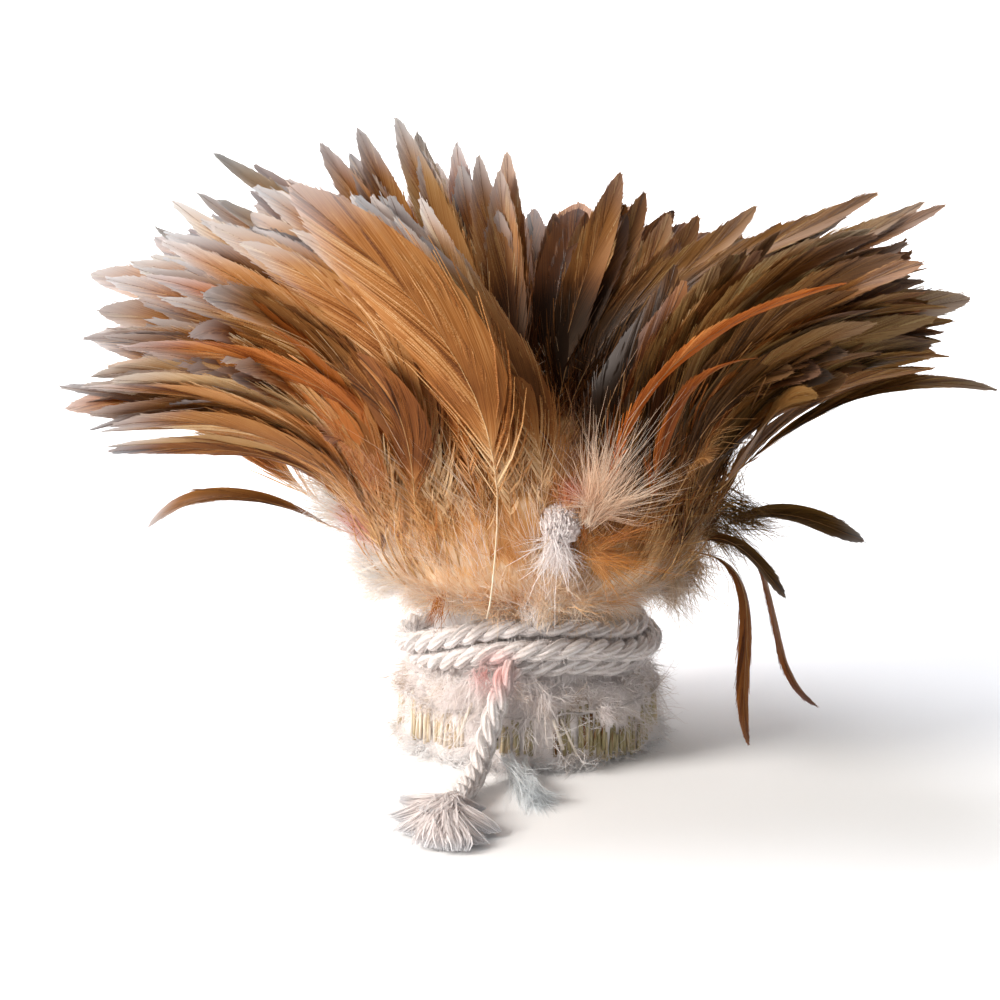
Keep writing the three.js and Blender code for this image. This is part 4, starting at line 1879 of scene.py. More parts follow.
CROWNS = (
    Crown(
        "packed_crown_lower",
        (44.5, 77.4),
        40.0,
        0.0,
        "hackle_brown",
        (
            (98, 2, 100), (80, 38, 101), (50, 64, 101), (8, 76, 104), (-38, 70, 106), (-78, 46, 106),
            (-98, 13, 104), (-92, -18, 99), (-60, -34, 100), (-28, -33, 93), (12, -31, 86),
            (45, -32, 93), (78, -24, 102),
        ),
    ),
    Crown(
        "packed_crown_upper",
        (30.5, 78.4),
        24.0,
        24.0,
        "hackle_dark",
        (
            (92, -2, 121), (80, 30, 117), (62, 53, 113), (32, 68, 114), (2, 71, 117), (-28, 66, 122),
            (-52, 52, 126), (-76, 32, 124), (-88, 2, 119), (-74, -12, 124), (-42, -20, 122),
            (-12, -33, 100), (16, -33, 88), (40, -24, 102), (70, -10, 117),
        ),
        shade=-0.1,
    ),
)


# Down


@dataclass
class Fluff:
    """Locks of soft hairs that grow side by side, as one value or row for each lock."""

    root: Array
    heading: Array
    length: Array
    out: Array
    dress: Dress
    hairs: int = 15
    scatter: float = 1.3
    fan: float = 0.17
    bow: float = 0.2
    curl: float = 0.08
    lift: Pair = (1.0, 1.4)
    width: Pair = (0.07, 0.18)

    def build(self, name: str, slot: str, finish: Finish, nodes: Iterable[str] = ()) -> None:
        """Builds the locks as one piece.

        Args:
            name: The piece's name.
            slot: Not used.
            finish: The finish of the hairs.
            nodes: The nodes that they stand for.
        """
        piece(name, self.mesh(name), (finish,), nodes)

    def mesh(self, name: str) -> Mesh:
        """Bends the hairs of every lock along curves of their own.

        Args:
            name: The mesh's name.

        Returns:
            The mesh.
        """
        rng = generator(name)
        locks = len(self.root)
        count = locks * self.hairs

        def each(values: Array | float) -> Array:
            """Gives every hair of a lock the lock's value."""
            wide = np.reshape(np.broadcast_to(values, (locks, *np.shape(values)[1:])), (locks, -1))
            return np.repeat(wide, self.hairs, axis=0)

        length = each(self.length) * rng.uniform(0.6, 1.1, (count, 1))
        start = each(self.root) + rng.normal(0.0, self.scatter, (count, 3))
        along = unit(each(self.heading) + rng.normal(0.0, self.fan, (count, 3)))
        bow = each(rng.normal(0.0, self.bow, (locks, 3))) + rng.normal(0.0, self.curl, (count, 3))
        end = start + along * length + bow * length
        late = mixed(start, end, 0.7) - rng.normal(0.0, self.curl, (count, 3)) * length
        curves = np.stack(
            [
                start, start + each(self.heading) * length * 0.35 + each(self.out) * self.lift[0],
                late + each(self.out) * self.lift[1], end,
            ],
            1,
        )
        facing = each(self.out) + rng.normal(0.0, 0.6, (count, 3))
        made, share = hairs(name, strip(3), curves, facing, rng.uniform(*self.width, count))
        tone = each(self.dress.tone) + each(rng.normal(0.0, 0.06, locks)) + 0.05 * share
        Dress(
            tone=tone, streak=each(rng.normal(0.5, 0.35, locks)), olive=each(self.dress.olive),
            frost=each(self.dress.frost),
        ).put_on(made, share.shape)
        return made


@dataclass(frozen=True)
class Lock:
    """A tuft of soft hairs from one place to another, with how far it spreads at each."""

    root: Point
    tip: Point
    spread: Pair
    locks: int
    tone: float = 0.1
    frost: float = 0.0
    olive: float = 0.0


def tufts(chosen: Sequence[Lock], rng: Dice, **settings: object) -> Fluff:
    """Lays out tufts as locks of hairs.

    Args:
        chosen: The tufts.
        rng: The random numbers.
        **settings: Further fields of the locks.

    Returns:
        The locks.
    """
    counts = [tuft.locks for tuft in chosen]

    def each(field_name: str) -> Array:
        """Gives every lock of a tuft the tuft's value."""
        values = np.array([getattr(tuft, field_name) for tuft in chosen], float)
        return np.repeat(values, counts, axis=0)

    spread = each("spread")
    root = each("root") + rng.normal(0.0, 1.0, (sum(counts), 3)) * spread[:, :1]
    tip = each("tip") + rng.normal(0.0, 1.0, (sum(counts), 3)) * spread[:, 1:]
    return Fluff(
        root=root, heading=unit(tip - root), length=np.linalg.norm(tip - root, axis=-1),
        out=unit(root * [1.0, 1.0, 0.0]),
        dress=Dress(tone=each("tone"), olive=each("olive"), frost=each("frost")), **settings,
    )


DOWN_TUFTS = (
    Lock((-40, -14, 60), (-51.5, -10, 62), (2.6, 2.6), 36, 0.12, frost=0.55),
    Lock((-42, -8, 64), (-52.5, -4, 69), (2.4, 2.4), 20, 0.2, frost=0.35),
    Lock((-33, -13, 49), (-44.0, -9, 44.5), (2.6, 2.2), 44, 0.03, frost=0.5),
    Lock((-31, -14, 44), (-38.5, -10, 39.0), (2.2, 1.8), 26, 0.05, frost=0.35),
    Lock((-27, -18, 42), (-30.0, -16, 36.0), (2.0, 1.4), 14, 0.08, frost=0.1),
    Lock((35, -8, 49), (39.5, -5, 37.0), (3.0, 2.2), 46, 0.3, olive=0.45),
    Lock((33, -15, 46), (35.5, -14, 36.0), (2.6, 2.0), 34, 0.22, olive=0.25),
    Lock((40, -2, 55), (42.0, 0, 43.0), (2.6, 2.4), 30, 0.4, olive=0.6),
    Lock((-21, -27.0, 43), (-21.5, -28.5, 36.8), (0.6, 0.4), 5, 0.8),
    Lock((8.2, -41.8, 68.5), (10.0, -43.0, 76.0), (1.2, 1.2), 12, 0.5),
    Lock((45.0, -12.0, 62.0), (57.0, -17.0, 57.5), (3.0, 2.2), 30, 0.75, olive=0.9),
    Lock((44.0, -14.0, 58.0), (51.0, -20.0, 52.0), (2.6, 2.0), 20, 0.7, olive=0.9),
)


@dataclass
class DownCollar:
    """The fluff at the feet of the feathers: a soft core under locks of down.

    The profile and the edge are radii with heights. The skirt is heights with radii, and its
    gap the azimuths in degrees where the rope is left bare.
    """

    profile: tuple[Pair, ...] = (
        (0.0, ROLL_HEIGHT + GAP), (25.5, ROLL_HEIGHT + GAP), (36.0, 43.4), (41.0, 48.5), (44.5, 56.0),
        (47.3, 64.0), (48.5, 71.0), (45.0, 76.0), (36.0, 78.0), (20.0, 75.0), (0.0, 72.0),
    )
    inset: float = 2.2
    segments: int = 96
    locks: int = 1450
    low_share: float = 0.2
    edge: tuple[Pair, ...] = ((27.5, 39.5), (31.5, 41.5))
    skirt_locks: int = 430
    skirt_fall: tuple[Pair, ...] = ((34.5, 24.5), (38.5, 26.5), (41.5, 29.5))
    skirt_gap: Pair = (-165.0, -66.0)
    gap_height: float = 40.5

    def build(self) -> None:
        """Builds the core and the locks."""
        self.core()
        self.down()
        self.skirt()
        loose = tufts(DOWN_TUFTS, generator("down_tufts"), scatter=0.9, lift=(0.4, 0.6))
        loose.build("down_tufts", "down_cream", DownFinish())

    def colours(self, azimuth: Array, spot: Array) -> Dress:
        """Colours the down: pale left, golden beside the pale front, olive right, where the olive and
        the darker tone are partly painted shade.

        Args:
            azimuth: Radians from +X.
            spot: How far up the collar, from 0 to 1.

        Returns:
            The tone, olive and frost.
        """
        turn = np.degrees(azimuth)

        def bump(centre: float, spread: float) -> Array:
            """Rises to 1 at an azimuth, in degrees."""
            away = (turn - centre + 180.0) % 360.0 - 180.0
            return np.exp(-((away / spread) ** 2))

        golden = 0.72 * bump(-137.0, 20.0) + 1.1 * bump(-58.0, 22.0) + 0.35 * bump(60.0, 50.0)
        # Olive and darker tone to the right: partly the down's own colour, partly painted shade.
        olive = bump(-10.0, 42.0) + 0.4 * bump(-60.0, 20.0)
        pale = bump(-172.0, 26.0)
        up = smooth(0.05, 0.75, spot)
        middle = bump(-98.0, 26.0)
        tone = 0.11 + 0.2 * up + golden * (0.1 + 0.22 * up) + 0.53 * olive * up - 0.18 * pale
        tone = tone + 0.12 * middle
        return Dress(tone=tone, olive=0.7 * olive * smooth(0.0, 0.5, spot), frost=0.5 * pale)

    def core(self) -> None:
        """Builds the core, a little inside the down's own outline."""
        inside = [(max(0.0, r - self.inset), h) for r, h in self.profile]
        mesh = oval_mesh("down_core", turned(inside, self.segments))
        places = corners_of(mesh) / MM
        azimuth = np.arctan2(places[:, 1] / DEPTH_SHARE, places[:, 0])
        dress = self.colours(azimuth, smooth(42.0, 78.0, places[:, 2]))
        replace(dress, tone=dress.tone + 0.1).put_on(mesh, azimuth.shape)
        matted = DownFinish("matted_down", matted=True)
        piece("down_core", mesh, (matted,), ["down_collar"])

    def down(self) -> None:
        """Places the locks, which sweep up and outwards over the core."""
        rng = generator("down_locks")
        outline = np.array([*self.edge, *self.profile[2:9]])
        steps = np.linalg.norm(np.diff(outline, axis=0), axis=-1)
        run = np.concatenate([[0.0], np.cumsum(steps)]) / steps.sum()
        spot = rng.uniform(0.0, 1.0, self.locks)
        spot = np.where(rng.uniform(0.0, 1.0, self.locks) < self.low_share, 0.12 * spot, spot)
        radius, height = (np.interp(spot, run, outline[:, i]) for i in range(2))
        ahead = np.interp(spot + 0.08, run, outline[:, 0]) - radius
        climb = np.interp(spot + 0.08, run, outline[:, 1]) - height
        azimuth = rng.uniform(-math.pi, math.pi, self.locks)
        out = outward_at(azimuth)
        slope = unit(np.stack([ahead, climb], -1) + [0.3, 0.15])
        front = smooth(0.2, 0.9, -out[:, 1])
        aside = np.clip((out[:, 0] - 0.15) * 1.5, -0.9, 0.9) * front
        heading = out * slope[:, :1] + UP * np.maximum(slope[:, 1:], 0.25)
        heading[:, 0] += aside * smooth(0.2, 0.9, spot)
        heading = unit(heading + rng.normal(0.0, 0.16, (self.locks, 3)))
        root = on_oval(azimuth, radius - self.inset, height)
        dress = self.colours(azimuth, spot)
        dress.tone = dress.tone + rng.normal(0.0, 0.08, self.locks)
        length = rng.uniform(8.0, 14.0, self.locks) + 9.0 * spot
        Fluff(root, heading, length, out, dress).build("down_locks", "down_cream", DownFinish())

    def skirt(self) -> None:
        """Hangs short locks over the upper edge of the rope, fewest at the front left."""
        rng = generator("down_skirt")
        azimuth = rng.uniform(-math.pi, math.pi, self.skirt_locks)
        turn = np.degrees(azimuth)
        bare = (turn > self.skirt_gap[0]) & (turn < self.skirt_gap[1])
        heights, radii = zip(*self.skirt_fall)
        height = rng.uniform(heights[0], heights[-1], self.skirt_locks)
        height = np.where(bare, np.maximum(height, self.gap_height), height)
        radius = np.interp(height, heights, radii)
        out = outward_at(azimuth)
        heading = out * 0.5 - UP * 0.8 + rng.normal(0.0, 0.4, (self.skirt_locks, 3))
        length = rng.uniform(3.0, 6.0, self.skirt_locks) * np.where(bare, 0.5, 1.0)
        dress = self.colours(azimuth, np.zeros(self.skirt_locks))
        Fluff(
            on_oval(azimuth, radius, height), unit(heading), length, out, dress, hairs=14, fan=0.3
        ).build("down_skirt", "down_cream", DownFinish())


# The roll of quills


@dataclass(frozen=True)
class Stubs:
    """Cut quills side by side: azimuths in degrees, heights, and a tint from cream to brown."""

    start: float
    end: float
    low: float
    high: float
    tint: float

    def hold(self, azimuth: Array, height: Array) -> Array:
        """Tells which places are among them."""
        past = (np.degrees(azimuth) - self.start) % 360.0
        return (past < self.end - self.start) & (height > self.low) & (height < self.high - 1.0)


STUBS = (
    Stubs(-153, -121, 4.5, 13.0, 0.1), Stubs(-104, -87, 5.0, 11.5, 0.45),
    Stubs(-78, -55, 4.5, 14.0, 0.72), Stubs(-58, -30, 1.6, 8.5, 0.55), Stubs(-27, -6, 4.0, 12.0, 0.45),
    Stubs(0, 32, 5.0, 13.5, 0.25), Stubs(42, 76, 2.5, 11.0, 0.6), Stubs(84, 112, 5.0, 13.5, 0.3),
    Stubs(120, 152, 2.0, 10.5, 0.65), Stubs(160, 190, 4.5, 13.0, 0.35),
)

STICKS: tuple[tuple[Point, Point], ...] = (
    ((8.2, -27.8, 6.2), (6.0, -28.0, 13.7)), ((11.6, -26.7, 4.2), (7.7, -27.7, 13.7)),
    ((-15.9, -24.9, 9.7), (-13.4, -25.9, 17.2)),
)

HAIR_ROUTE: tuple[Point, ...] = (
    (-6.6, -29.6, 13.8), (-6.9, -31.4, 10.0), (-8.6, -33.0, 6.0), (-10.4, -33.0, 3.0),
)

ROLL_TUFTS = (
    Lock((18.2, -24.0, 14.2), (18.8, -25.4, 11.4), (0.8, 0.8), 12, 0.0),
    Lock((-10.5, -26.8, 23.5), (-12.0, -28.2, 18.0), (1.6, 1.4), 12, 0.0),
    Lock((-1.0, -27.6, 22.0), (0.5, -29.2, 17.5), (1.4, 1.2), 12, 0.05),
    Lock((-17.0, -24.0, 20.0), (-19.0, -25.0, 14.0), (2.6, 1.6), 16, 0.02),
    Lock((3.5, -28.0, 19.0), (4.0, -29.0, 13.5), (1.6, 1.4), 12, 0.12),
)


@dataclass
class QuillRoll:
    """The roll of cut quills, with its stubs, its fluff and the stitching.

    The profile is shares of the half width with heights, and the wall heights with shares. A
    zone of fluff is its share of the locks, and the heights that it lies between.
    """

    profile: tuple[Pair, ...] = (
        (0.0, 0.25), (0.94, 0.25), (0.975, 1.8), (0.975, 12.5), (0.95, 15.8), (0.89, 18.0),
        (0.73, 19.2), (0.73, 42.0), (0.0, 42.0),
    )
    segments: int = 136
    ridge_top: float = 16.5
    stub_step: float = 1.5
    stub_radius: float = 0.44
    locks: int = 1150
    wall: tuple[Pair, ...] = (
        (0.0, 1.0), (12.5, 1.0), (16.0, 0.97), (18.4, 0.93), (20.5, 0.85),
    )
    zones: tuple[Point, ...] = ((0.48, 12.5, 20.5), (0.3, 2.0, 13.0), (0.22, 0.8, 3.4))
    left_among_stubs: float = 0.24
    stitch_height: float = 14.2
    stitch_clearance: float = 0.15

    def build(self) -> None:
        """Builds the roll, the stubs, the fluff and the thread."""
        self.core()
        self.cut_quills()
        self.fuzz()
        self.thread()
        self.stray_hair()

    def core(self) -> None:
        """Builds the body of the roll, ridged by the quills under the fluff."""
        outline = [(share * ROLL_HALF_WIDTH, height) for share, height in self.profile]
        shape = turned(outline, self.segments)
        rng = generator("quill_roll_body")
        phases = rng.uniform(0.0, FULL_TURN, 3)
        for vertex in shape.verts:
            if vertex.co.z > self.ridge_top or vertex.co.xy.length < 5.0:
                continue
            turn = math.atan2(vertex.co.y / DEPTH_SHARE, vertex.co.x)
            wave = math.sin(34 * turn + phases[0]) + 0.7 * math.sin(53 * turn + phases[1])
            push = 1.0 + 0.009 * wave + 0.008 * math.sin(7 * turn + phases[2])
            vertex.co.x *= push
            vertex.co.y *= push
        mesh = oval_mesh("quill_roll_body", shape)
        Dress(tone=-0.04, streak=0.4).put_on(mesh, (len(mesh.vertices),))
        matted = DownFinish("matted_fluff", ROLL_PALETTE, matted=True)
        piece("quill_roll_body", mesh, (matted,), ["quill_roll"])

    def cut_quills(self) -> None:
        """Builds the stubs in their groups, and a few pale ones that slant."""
        rng = generator("cut_quills")
        rows = []
        for stubs in STUBS:
            turn = np.radians(np.arange(stubs.start, stubs.end, self.stub_step))
            low = stubs.low + rng.normal(0.0, 0.7, len(turn))
            high = stubs.high + rng.normal(0.0, 1.1, len(turn))
            rows.append(np.stack([turn, low, high, np.full(len(turn), stubs.tint)]))
        turn, low, high, tint = np.concatenate(rows, 1)
        count = len(turn)
        turn = turn + rng.normal(0.0, 0.008, count)
        out = rng.uniform(0.982, 1.016, count) * ROLL_HALF_WIDTH
        bottom = on_oval(turn, out, np.maximum(low, 1.0))
        top = on_oval(turn + rng.normal(0.0, 0.022, count), out * 0.985, high)
        sticks = np.array(STICKS, float)
        bottom = np.concatenate([bottom, sticks[:, 0]])
        top = np.concatenate([top, sticks[:, 1]])
        tint = np.concatenate([tint + rng.normal(0.0, 0.12, count), np.full(len(sticks), -0.2)])
        curves = np.stack([bottom, mixed(bottom, top, 0.33), mixed(bottom, top, 0.66), top], 1)
        width = 2 * self.stub_radius * rng.uniform(0.7, 1.25, len(top))
        facing = unit(bottom * [1.0, 1.0, 0.0])
        mesh, share = hairs("cut_quills", rod(7, 2), curves, facing, width, 0.85)
        Dress(tone=tint[:, None] + 0.15 * share).put_on(mesh, share.shape)
        piece("cut_quills", mesh, (QuillFinish(),))

    def fuzz(self) -> None:
        """Builds the white fluff that clings to the roll, thick above the cut quills, with painted
        shade on its right side.
        """
        rng = generator("roll_fluff")
        azimuth = rng.uniform(-math.pi, math.pi, self.locks)
        zone = rng.choice(len(self.zones), self.locks, p=[share for share, _, _ in self.zones])
        height = np.choose(zone, [rng.uniform(low, high, self.locks) for _, low, high in self.zones])
        among = np.any([stubs.hold(azimuth, height) for stubs in STUBS], axis=0)
        kept = ~among | (rng.uniform(0.0, 1.0, self.locks) < self.left_among_stubs)
        azimuth, height, zone = azimuth[kept], height[kept], zone[kept]
        count = len(azimuth)
        share = np.interp(height, *zip(*self.wall))
        out = outward_at(azimuth)
        root = on_oval(azimuth, share * ROLL_HALF_WIDTH - 0.4, height)
        drift = 0.8 * np.sin(3.0 * azimuth + 0.7 * height)[:, None] * np.cross(UP, out)
        heading = unit(out * 0.35 + drift + rng.normal(0.0, 0.5, root.shape) - 0.5 * UP)
        spots = smooth(0.6, 1.0, np.sin(5.0 * azimuth + 1.1) * np.sin(0.55 * height + azimuth))
        # Painted shade: the fluff on the right side is darker and tinted olive.
        right = smooth(-0.3, 0.8, out[:, 0])
        left = smooth(0.3, 0.9, -out[:, 0])
        dress = Dress(
            tone=rng.normal(-0.07, 0.05, count) + 0.42 * spots + 0.13 * right + 0.2 * left,
            olive=0.16 * right, frost=np.where(zone == 2, 0.5, 0.1),
        )
        wall = Fluff(
            root, heading, rng.uniform(2.6, 6.0, count), out, dress, hairs=13, scatter=0.9, fan=0.6,
            bow=0.45, curl=0.3, lift=(0.9, 0.8), width=(0.1, 0.22),
        )
        cottony = DownFinish("cottony_fluff", ROLL_PALETTE)
        wall.build("roll_fluff", "down_white", cottony)
        loose = tufts(ROLL_TUFTS, rng, hairs=14, scatter=0.6, fan=0.35, curl=0.2, lift=(0.4, 0.4))
        loose.build("roll_tufts", "down_white", cottony)

    def stray_hair(self) -> None:
        """Lays the dark hair that hangs beside the rope's tail."""
        mesh, _ = hairs("stray_hair", rod(5, 10), np.array([HAIR_ROUTE]), FRONT[None], 0.3, 0.5)
        piece("stray_hair", mesh, (DarkHairFinish(),))

    def thread(self) -> None:
        """Builds the stitching, a thin twisted thread round the roll."""
        rng = generator("stitching")
        turn = np.linspace(0.0, FULL_TURN, 181)
        reach = self.stitch_clearance + 0.5 * THREAD_DIAMETER
        wave = 0.45 * np.sin(9 * turn) + 0.25 * np.sin(23 * turn) + rng.normal(0.0, 0.05, len(turn))
        across = (ROLL_HALF_WIDTH + reach) * np.cos(turn)
        deep = (ROLL_HALF_DEPTH + reach) * np.sin(turn)
        ring = np.stack([across, deep, self.stitch_height + wave], -1)
        ring[-1] = ring[0] + [0.0, -0.2, 0.0]
        lines = Lines.through(ring[None], outward_at(0.0)[None])
        mesh = swept("stitching", lines, 6, 180, np.array([[0.3, 0.3]]))
        piece("stitching", mesh, (COTTON,), ["stitch_thread"])


# The rope


@dataclass
class Rope:
    """A laid cotton rope of three strands along a line."""

    name: str
    line: Array
    outward: Array
    radius: float = ROPE_RADIUS
    swell: float = 1.04
    lay: float = 15.0
    strands: int = 3
    sides: int = 10
    steps_in_lay: int = 16

    def mesh(self) -> Mesh:
        """Builds the strands as closed rods that wind round the line.

        Returns:
            The mesh.
        """
        strand = 0.5 * self.radius * self.swell
        orbit = self.swell * self.radius - strand
        length = length_of(self.line)
        steps = max(8, int(self.steps_in_lay * length / self.lay))
        core = Lines.through(evenly(self.line[None], steps + 1), self.outward[None])
        share = np.linspace(0.0, 1.0, steps + 1)
        point, side, normal = core.at(share[None])
        paths = []
        for index in range(self.strands):
            turn = FULL_TURN * (share * length / self.lay + index / self.strands)
            ring = side * np.cos(turn)[None, :, None] + normal * np.sin(turn)[None, :, None]
            paths.append((point + orbit * ring)[0])
        paths = np.array(paths)
        first = unit(paths[:, 0] - core.points[:, 0])
        lines = Lines.through(paths, first)
        thick = np.tile([strand, strand], (self.strands, 1))
        return swept(self.name, lines, self.sides, steps, thick)

    def lint(self, hairs_per_mm: float) -> Mesh:
        """Builds the short loose fibres that stand off the rope.

        Args:
            hairs_per_mm: How many there are along each millimetre.

        Returns:
            The mesh.
        """
        rng = generator(self.name + "_lint")
        core = Lines.through(evenly(self.line[None], 200), self.outward[None])
        count = max(12, int(core.lengths[0] * hairs_per_mm))
        share = rng.uniform(0.0, 1.0, (1, count))
        point, side, normal = core.at(share)
        turn = rng.uniform(0.0, FULL_TURN, (count, 1))
        out = side[0] * np.cos(turn) + normal[0] * np.sin(turn)
        root = point[0] + out * self.radius * 0.8
        heading = unit(out + rng.normal(0.0, 0.9, out.shape))
        end = root + heading * rng.uniform(0.8, 3.0, (count, 1))
        sway = rng.normal(0.0, 0.5, root.shape)
        curves = np.stack([root, mixed(root, end, 0.4) + sway, mixed(root, end, 0.75) - sway, end], 1)
        curves[..., 2] = np.maximum(curves[..., 2], FLOOR_GAP)
        mesh, _ = hairs(self.name + "_lint", strip(2), curves, out, rng.uniform(0.08, 0.16, count))
        return mesh


TAIL_ROUTE: tuple[Point, ...] = (
    (-5.5, -28.5, 24.5), (-6.8, -29.9, 20.0), (-8.2, -30.4, 15.5), (-9.6, -31.6, 11.0),
    (-11.0, -34.2, 6.9), (-12.4, -38.2, 4.0), (-14.0, -43.2, 2.75), (-15.5, -48.6, 2.6),
    (-17.0, -54.0, 2.6),
)

UPPER_END_ROUTE: tuple[Point, ...] = (
    (-1.6, -27.2, 40.4), (2.4, -29.0, 41.6), (4.8, -32.0, 46.0), (5.6, -37.0, 54.5), (6.8, -41.4, 63.6),
)

# The turns unrolled: azimuth, height, and how far the rope stands off the waist
TURNS_ROUTE: tuple[Point, ...] = (
    (-112, 27.0, -0.6), (-97, 25.2, 0.0), (-65, 25.3, 0.0), (-20, 21.4, 0.0), (50, 21.2, 0.0),
    (150, 21.2, 0.0), (190, 21.7, 0.0), (220, 24.4, 0.3), (243, 27.6, 1.4), (262, 29.6, 2.8),
    (278, 30.2, 3.3), (296, 29.7, 3.4), (340, 25.7, 3.4), (410, 25.3, 3.5), (510, 25.3, 3.5),
    (550, 25.8, 3.4), (580, 29.8, 2.4), (603, 33.3, 0.8), (620, 35.1, 0.2), (636, 35.4, 0.0),
    (656, 34.4, 0.0), (700, 30.2, 0.0), (770, 29.5, 0.0),
)


@dataclass
class TieTail:
    """The rope's free tail and its frayed end, which lie down the front and on the floor."""

    heart: Point = (-17.2, -54.6, 2.7)
    locks: tuple[tuple[float, float, float, float], ...] = (
        (-30.0, -54.0, 3.6, 5.0), (-31.5, -62.0, 1.6, 7.0), (-28.5, -71.0, 1.3, 8.0),
        (-23.5, -79.0, 1.2, 8.0), (-17.0, -81.0, 1.2, 8.0), (-11.5, -77.0, 1.2, 6.0),
        (-7.5, -70.0, 1.3, 4.5), (-10.5, -58.0, 2.2, 4.0), (-22.0, -68.0, 5.5, 8.0),
        (-18.0, -64.0, 6.0, 5.0),
    )
    yarns_in_lock: int = 250
    yarn_clearance: float = 0.45

    def build(self) -> None:
        line = catmull_rom(((-3.4, -26.4, 26.4), *TAIL_ROUTE), 120)[0]
        rope = Rope("tie_tail_rope", line, FRONT, radius=1.1 * ROPE_RADIUS, lay=14.5)
        mesh = merged("tie_tail_rope", [rope.mesh(), rope.lint(22.0)])
        tail = piece("tie_tail_rope", mesh, (COTTON, LOOSE_COTTON), ["tie_tail"])
        fray = self.fray()

    def fray(self) -> Thing:
        """Builds the loose yarns that fan out on the floor.

        Returns:
            The piece.
        """
        rng = generator("tie_fray")
        heart = np.array(self.heart)
        many = self.yarns_in_lock
        tips = np.repeat(np.array([lock[:3] for lock in self.locks]), many, axis=0)
        width = np.repeat(np.array([lock[3] for lock in self.locks]), many)[:, None]
        count = len(tips)
        leaving = unit(np.array([-0.2, -1.0, 0.0]))
        away = tips - heart
        across = unit(np.cross(away, UP))
        aside = rng.uniform(-0.5, 0.5, (count, 1))
        start = heart + rng.normal(0.0, 1.1, (count, 3)) * [1.0, 0.6, 0.8]
        reach = rng.uniform(0.78, 1.0, (count, 1))
        end = start + (tips - start) * reach + across * aside * width * 0.9
        chord = np.linalg.norm(away, axis=-1, keepdims=True)
        middle = start + leaving * 0.62 * chord + across * aside * width * 0.5
        late = mixed(middle, end, 0.5) + leaving * 0.12 * chord + across * aside * width * 0.6
        sway = np.repeat(rng.normal(0.0, 1.3, (len(self.locks), 3)), many, axis=0)
        curl = (sway + rng.normal(0.0, 0.9, (count, 3))) * [1.0, 1.0, 0.6]
        puff = UP * rng.uniform(0.5, 4.5, (count, 1))
        curves = np.stack([start, middle + 0.5 * curl + puff, late - curl + 0.6 * puff, end], 1)
        curves[..., 2] = np.maximum(curves[..., 2], self.yarn_clearance)
        facing = UP + rng.normal(0.0, 0.5, (count, 3))
        mesh, share = hairs("tie_fray", strip(8), curves, facing, rng.uniform(0.28, 0.52, count), 0.5)
        Dress(frost=0.45 * smooth(0.75, 1.0, share)).put_on(mesh, share.shape)
        return piece("tie_fray", mesh, (LOOSE_COTTON,), ["tie_tail_fray"])


@dataclass
class TieTurns:
    """The rope's turns round the waist, which arch up and climb at the front."""

    route: Sequence[Point] = TURNS_ROUTE
    lint: float = 26.0

    def build(self) -> None:
        """Builds the turns."""
        azimuth, height, off = catmull_rom(self.route, 600)[0].T
        line = on_oval(np.radians(azimuth), WAIST + (ROPE_RADIUS + GAP) / DEPTH_SHARE + off, height)
        outward = outward_at(np.radians(azimuth[0]))
        rope = Rope("tie_turns_rope", line, outward, radius=ROPE_RADIUS * 1.06)
        mesh = merged("tie_turns_rope", [rope.mesh(), rope.lint(self.lint)])
        piece("tie_turns_rope", mesh, (COTTON, LOOSE_COTTON), ["tie_turns"])


